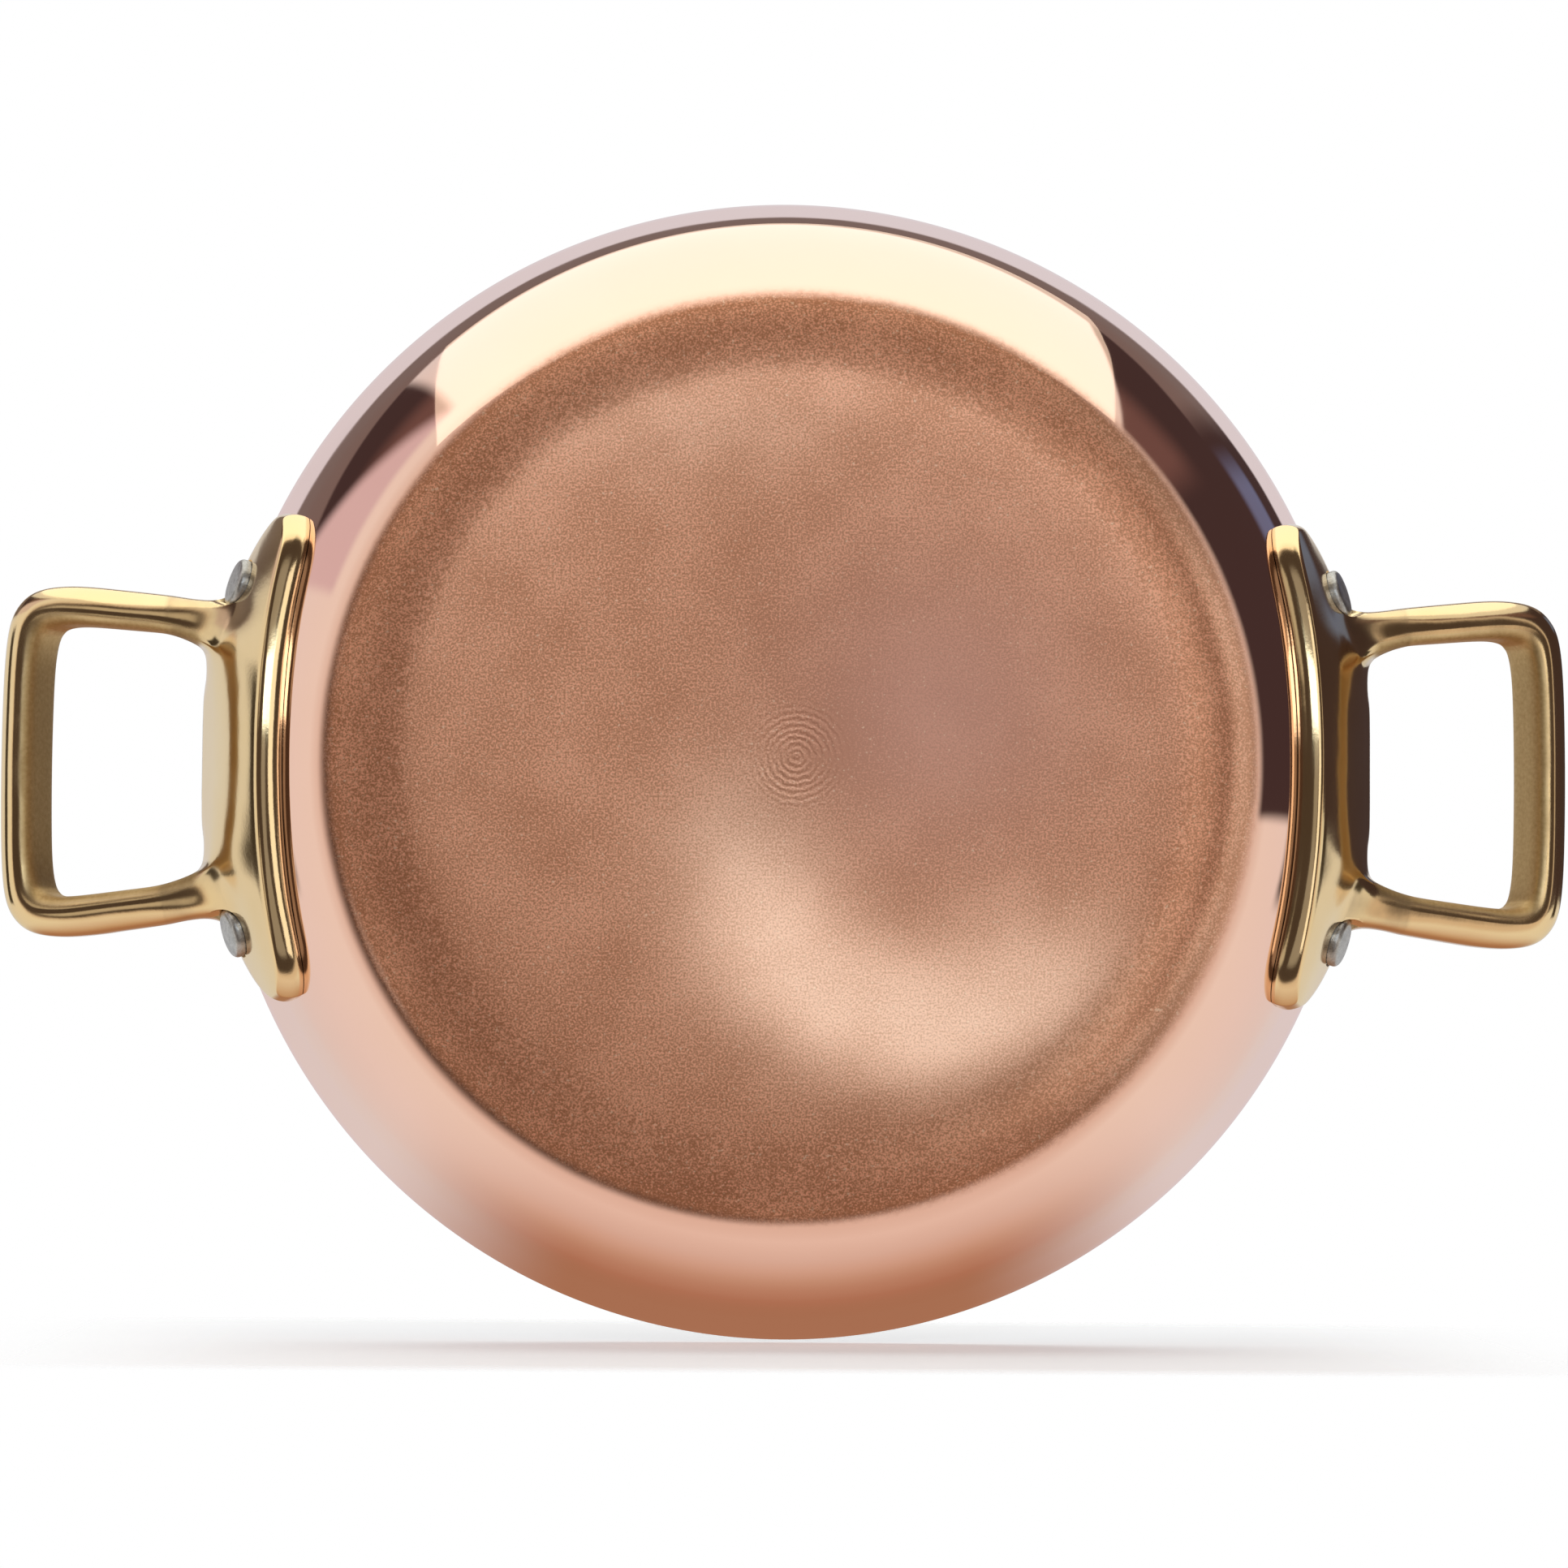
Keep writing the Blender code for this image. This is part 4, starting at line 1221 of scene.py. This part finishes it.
# %% Three lamps
Lamp = namedtuple("Lamp", "middle facing width height radiance colour")
WIDE_NEAR = Vector((0.0, -0.49, -0.26))
WIDE_FAR = Vector((0.0, -0.70, 0.80))
WIDE_RIGHT = 0.445
WIDE_LEFT = -0.505
WIDE_MIDDLE = (WIDE_NEAR + WIDE_FAR) / 2 + Vector(((WIDE_RIGHT + WIDE_LEFT) / 2, 0.0, 0.0))
WIDE_SLOPE = WIDE_FAR - WIDE_NEAR
LAMPS = {
    "wide_lamp": Lamp(WIDE_MIDDLE, WIDE_SLOPE.cross(Vector((1.0, 0.0, 0.0))).normalized(),
                      WIDE_RIGHT - WIDE_LEFT, WIDE_SLOPE.length, 0.60, (1.0, 1.0, 0.84)),
    "camera_lamp": Lamp(Vector((0.041, -0.241, -0.918)), Vector((-0.043, 0.254, 0.966)),
                        0.60, 0.20, 2.75, (0.80, 0.92, 1.0)),
    "side_lamp": Lamp(Vector((0.49, 0.02, -0.87)), Vector((-0.49, -0.02, 0.87)),
                      0.32, 1.10, 1.15, (1.0, 0.98, 0.92)),
}


def add_lamp(name, lamp):
    """Flat area lamp; its radiance is what a mirror shows of it."""
    data = bpy.data.lights.new(name, "AREA")
    data.shape = "RECTANGLE"
    data.size = lamp.width
    data.size_y = lamp.height
    data.color = lamp.colour
    data.energy = lamp.radiance * math.pi * lamp.width * lamp.height
    piece = bpy.data.objects.new(name, data)
    bpy.context.scene.collection.objects.link(piece)
    sight = -lamp.facing
    across = Vector((1.0, 0.0, 0.0))
    across = (across - sight * across.dot(sight)).normalized()
    axes = Matrix((across, sight.cross(across), sight)).transposed().to_4x4()
    axes.translation = lamp.middle
    piece.matrix_world = axes
    piece.visible_camera = False
    print(name, "in watts:", round(data.energy, 3))


for name, lamp in LAMPS.items():
    add_lamp(name, lamp)

# %% [markdown]
# ## Floors
# The pan has two places to stand: on its flat bottom, for every view from above, and on its rim edge,
# as in the photograph. Each has a pale floor that only the camera sees and only from its upper side,
# so it takes the pan's shadow and never hides the pan. Part of its white is its own glow, and it
# fades out at its border.

# %% Pale floors
Floor = namedtuple("Floor", "placing half_x half_y fade_x fade_y paint glow")
FLOOR_DROP = 0.0004
RIM_FLOOR_MIDDLE = 0.034
FLECK_SIZE = 0.02
FLECK_DEPTH = 0.01
FLOOR_TINT = (1.0, 1.03, 1.11)
FLOORS = {
    "table_floor": Floor(Matrix.Translation((0.0, 0.0, -FLOOR_DROP)),
                         0.52, 0.52, 0.30, 0.30, 0.80, 0.42),
    "rim_floor": Floor(Matrix.Translation((0.0, RIM_RADIUS + FLOOR_DROP, RIM_FLOOR_MIDDLE))
                       @ Matrix.Rotation(math.pi / 2, 4, "X"),
                       0.150, 0.080, 0.070, 0.020, 0.88, 0.31),
}


def floor_finish(name, floor):
    """Pale floor that is clear from behind and fades out at its border."""
    material, finish = new_finish(name)
    spot, (x, y, z) = finish.place()
    flecks = finish.noise(spot, FLECK_SIZE, 2.0)
    levels = (floor.paint - FLECK_DEPTH, floor.paint)
    shades = [tuple(level * tint for tint in FLOOR_TINT) for level in levels]
    paint = finish.add("BsdfDiffuse", values={"Color": finish.mix(flecks, *shades)})
    glow = finish.add("Emission", values={"Color": (1.0, 1.0, 1.0), "Strength": floor.glow})
    front = finish.add("AddShader", values={0: paint, 1: glow})
    inside_x = 1 - finish.ease(x.maths("ABSOLUTE"), floor.half_x - floor.fade_x, floor.half_x)
    inside_y = 1 - finish.ease(y.maths("ABSOLUTE"), floor.half_y - floor.fade_y, floor.half_y)
    in_front = 1 - finish.add("NewGeometry", output="Backfacing")
    shown = in_front * inside_x * inside_y
    clear = finish.add("BsdfTransparent")
    finish.output(finish.add("MixShader", values={0: shown, 1: clear, 2: front}))
    return material


def add_floor(name, floor):
    """Flat floor, seen by the camera alone."""
    bm = bmesh.new()
    bmesh.ops.create_grid(bm, x_segments=1, y_segments=1, size=1.0)
    bmesh.ops.scale(bm, vec=(floor.half_x, floor.half_y, 1.0), verts=bm.verts)
    piece = finished(bm, name)
    piece.matrix_world = floor.placing
    piece.data.materials.append(floor_finish(name, floor))
    piece.visible_diffuse = False
    piece.visible_glossy = False
    piece.visible_transmission = False
    piece.visible_shadow = False


for name, floor in FLOORS.items():
    add_floor(name, floor)

# %% [markdown]
# ## Last steps
# Every piece rides on the pan's one body, and the colours are shown plainly.

# %% Ride and finish
for piece in [body, lining] + list(handles.values()) + rivets:
    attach(piece, "root")
bpy.context.scene.view_settings.view_transform = "Standard"
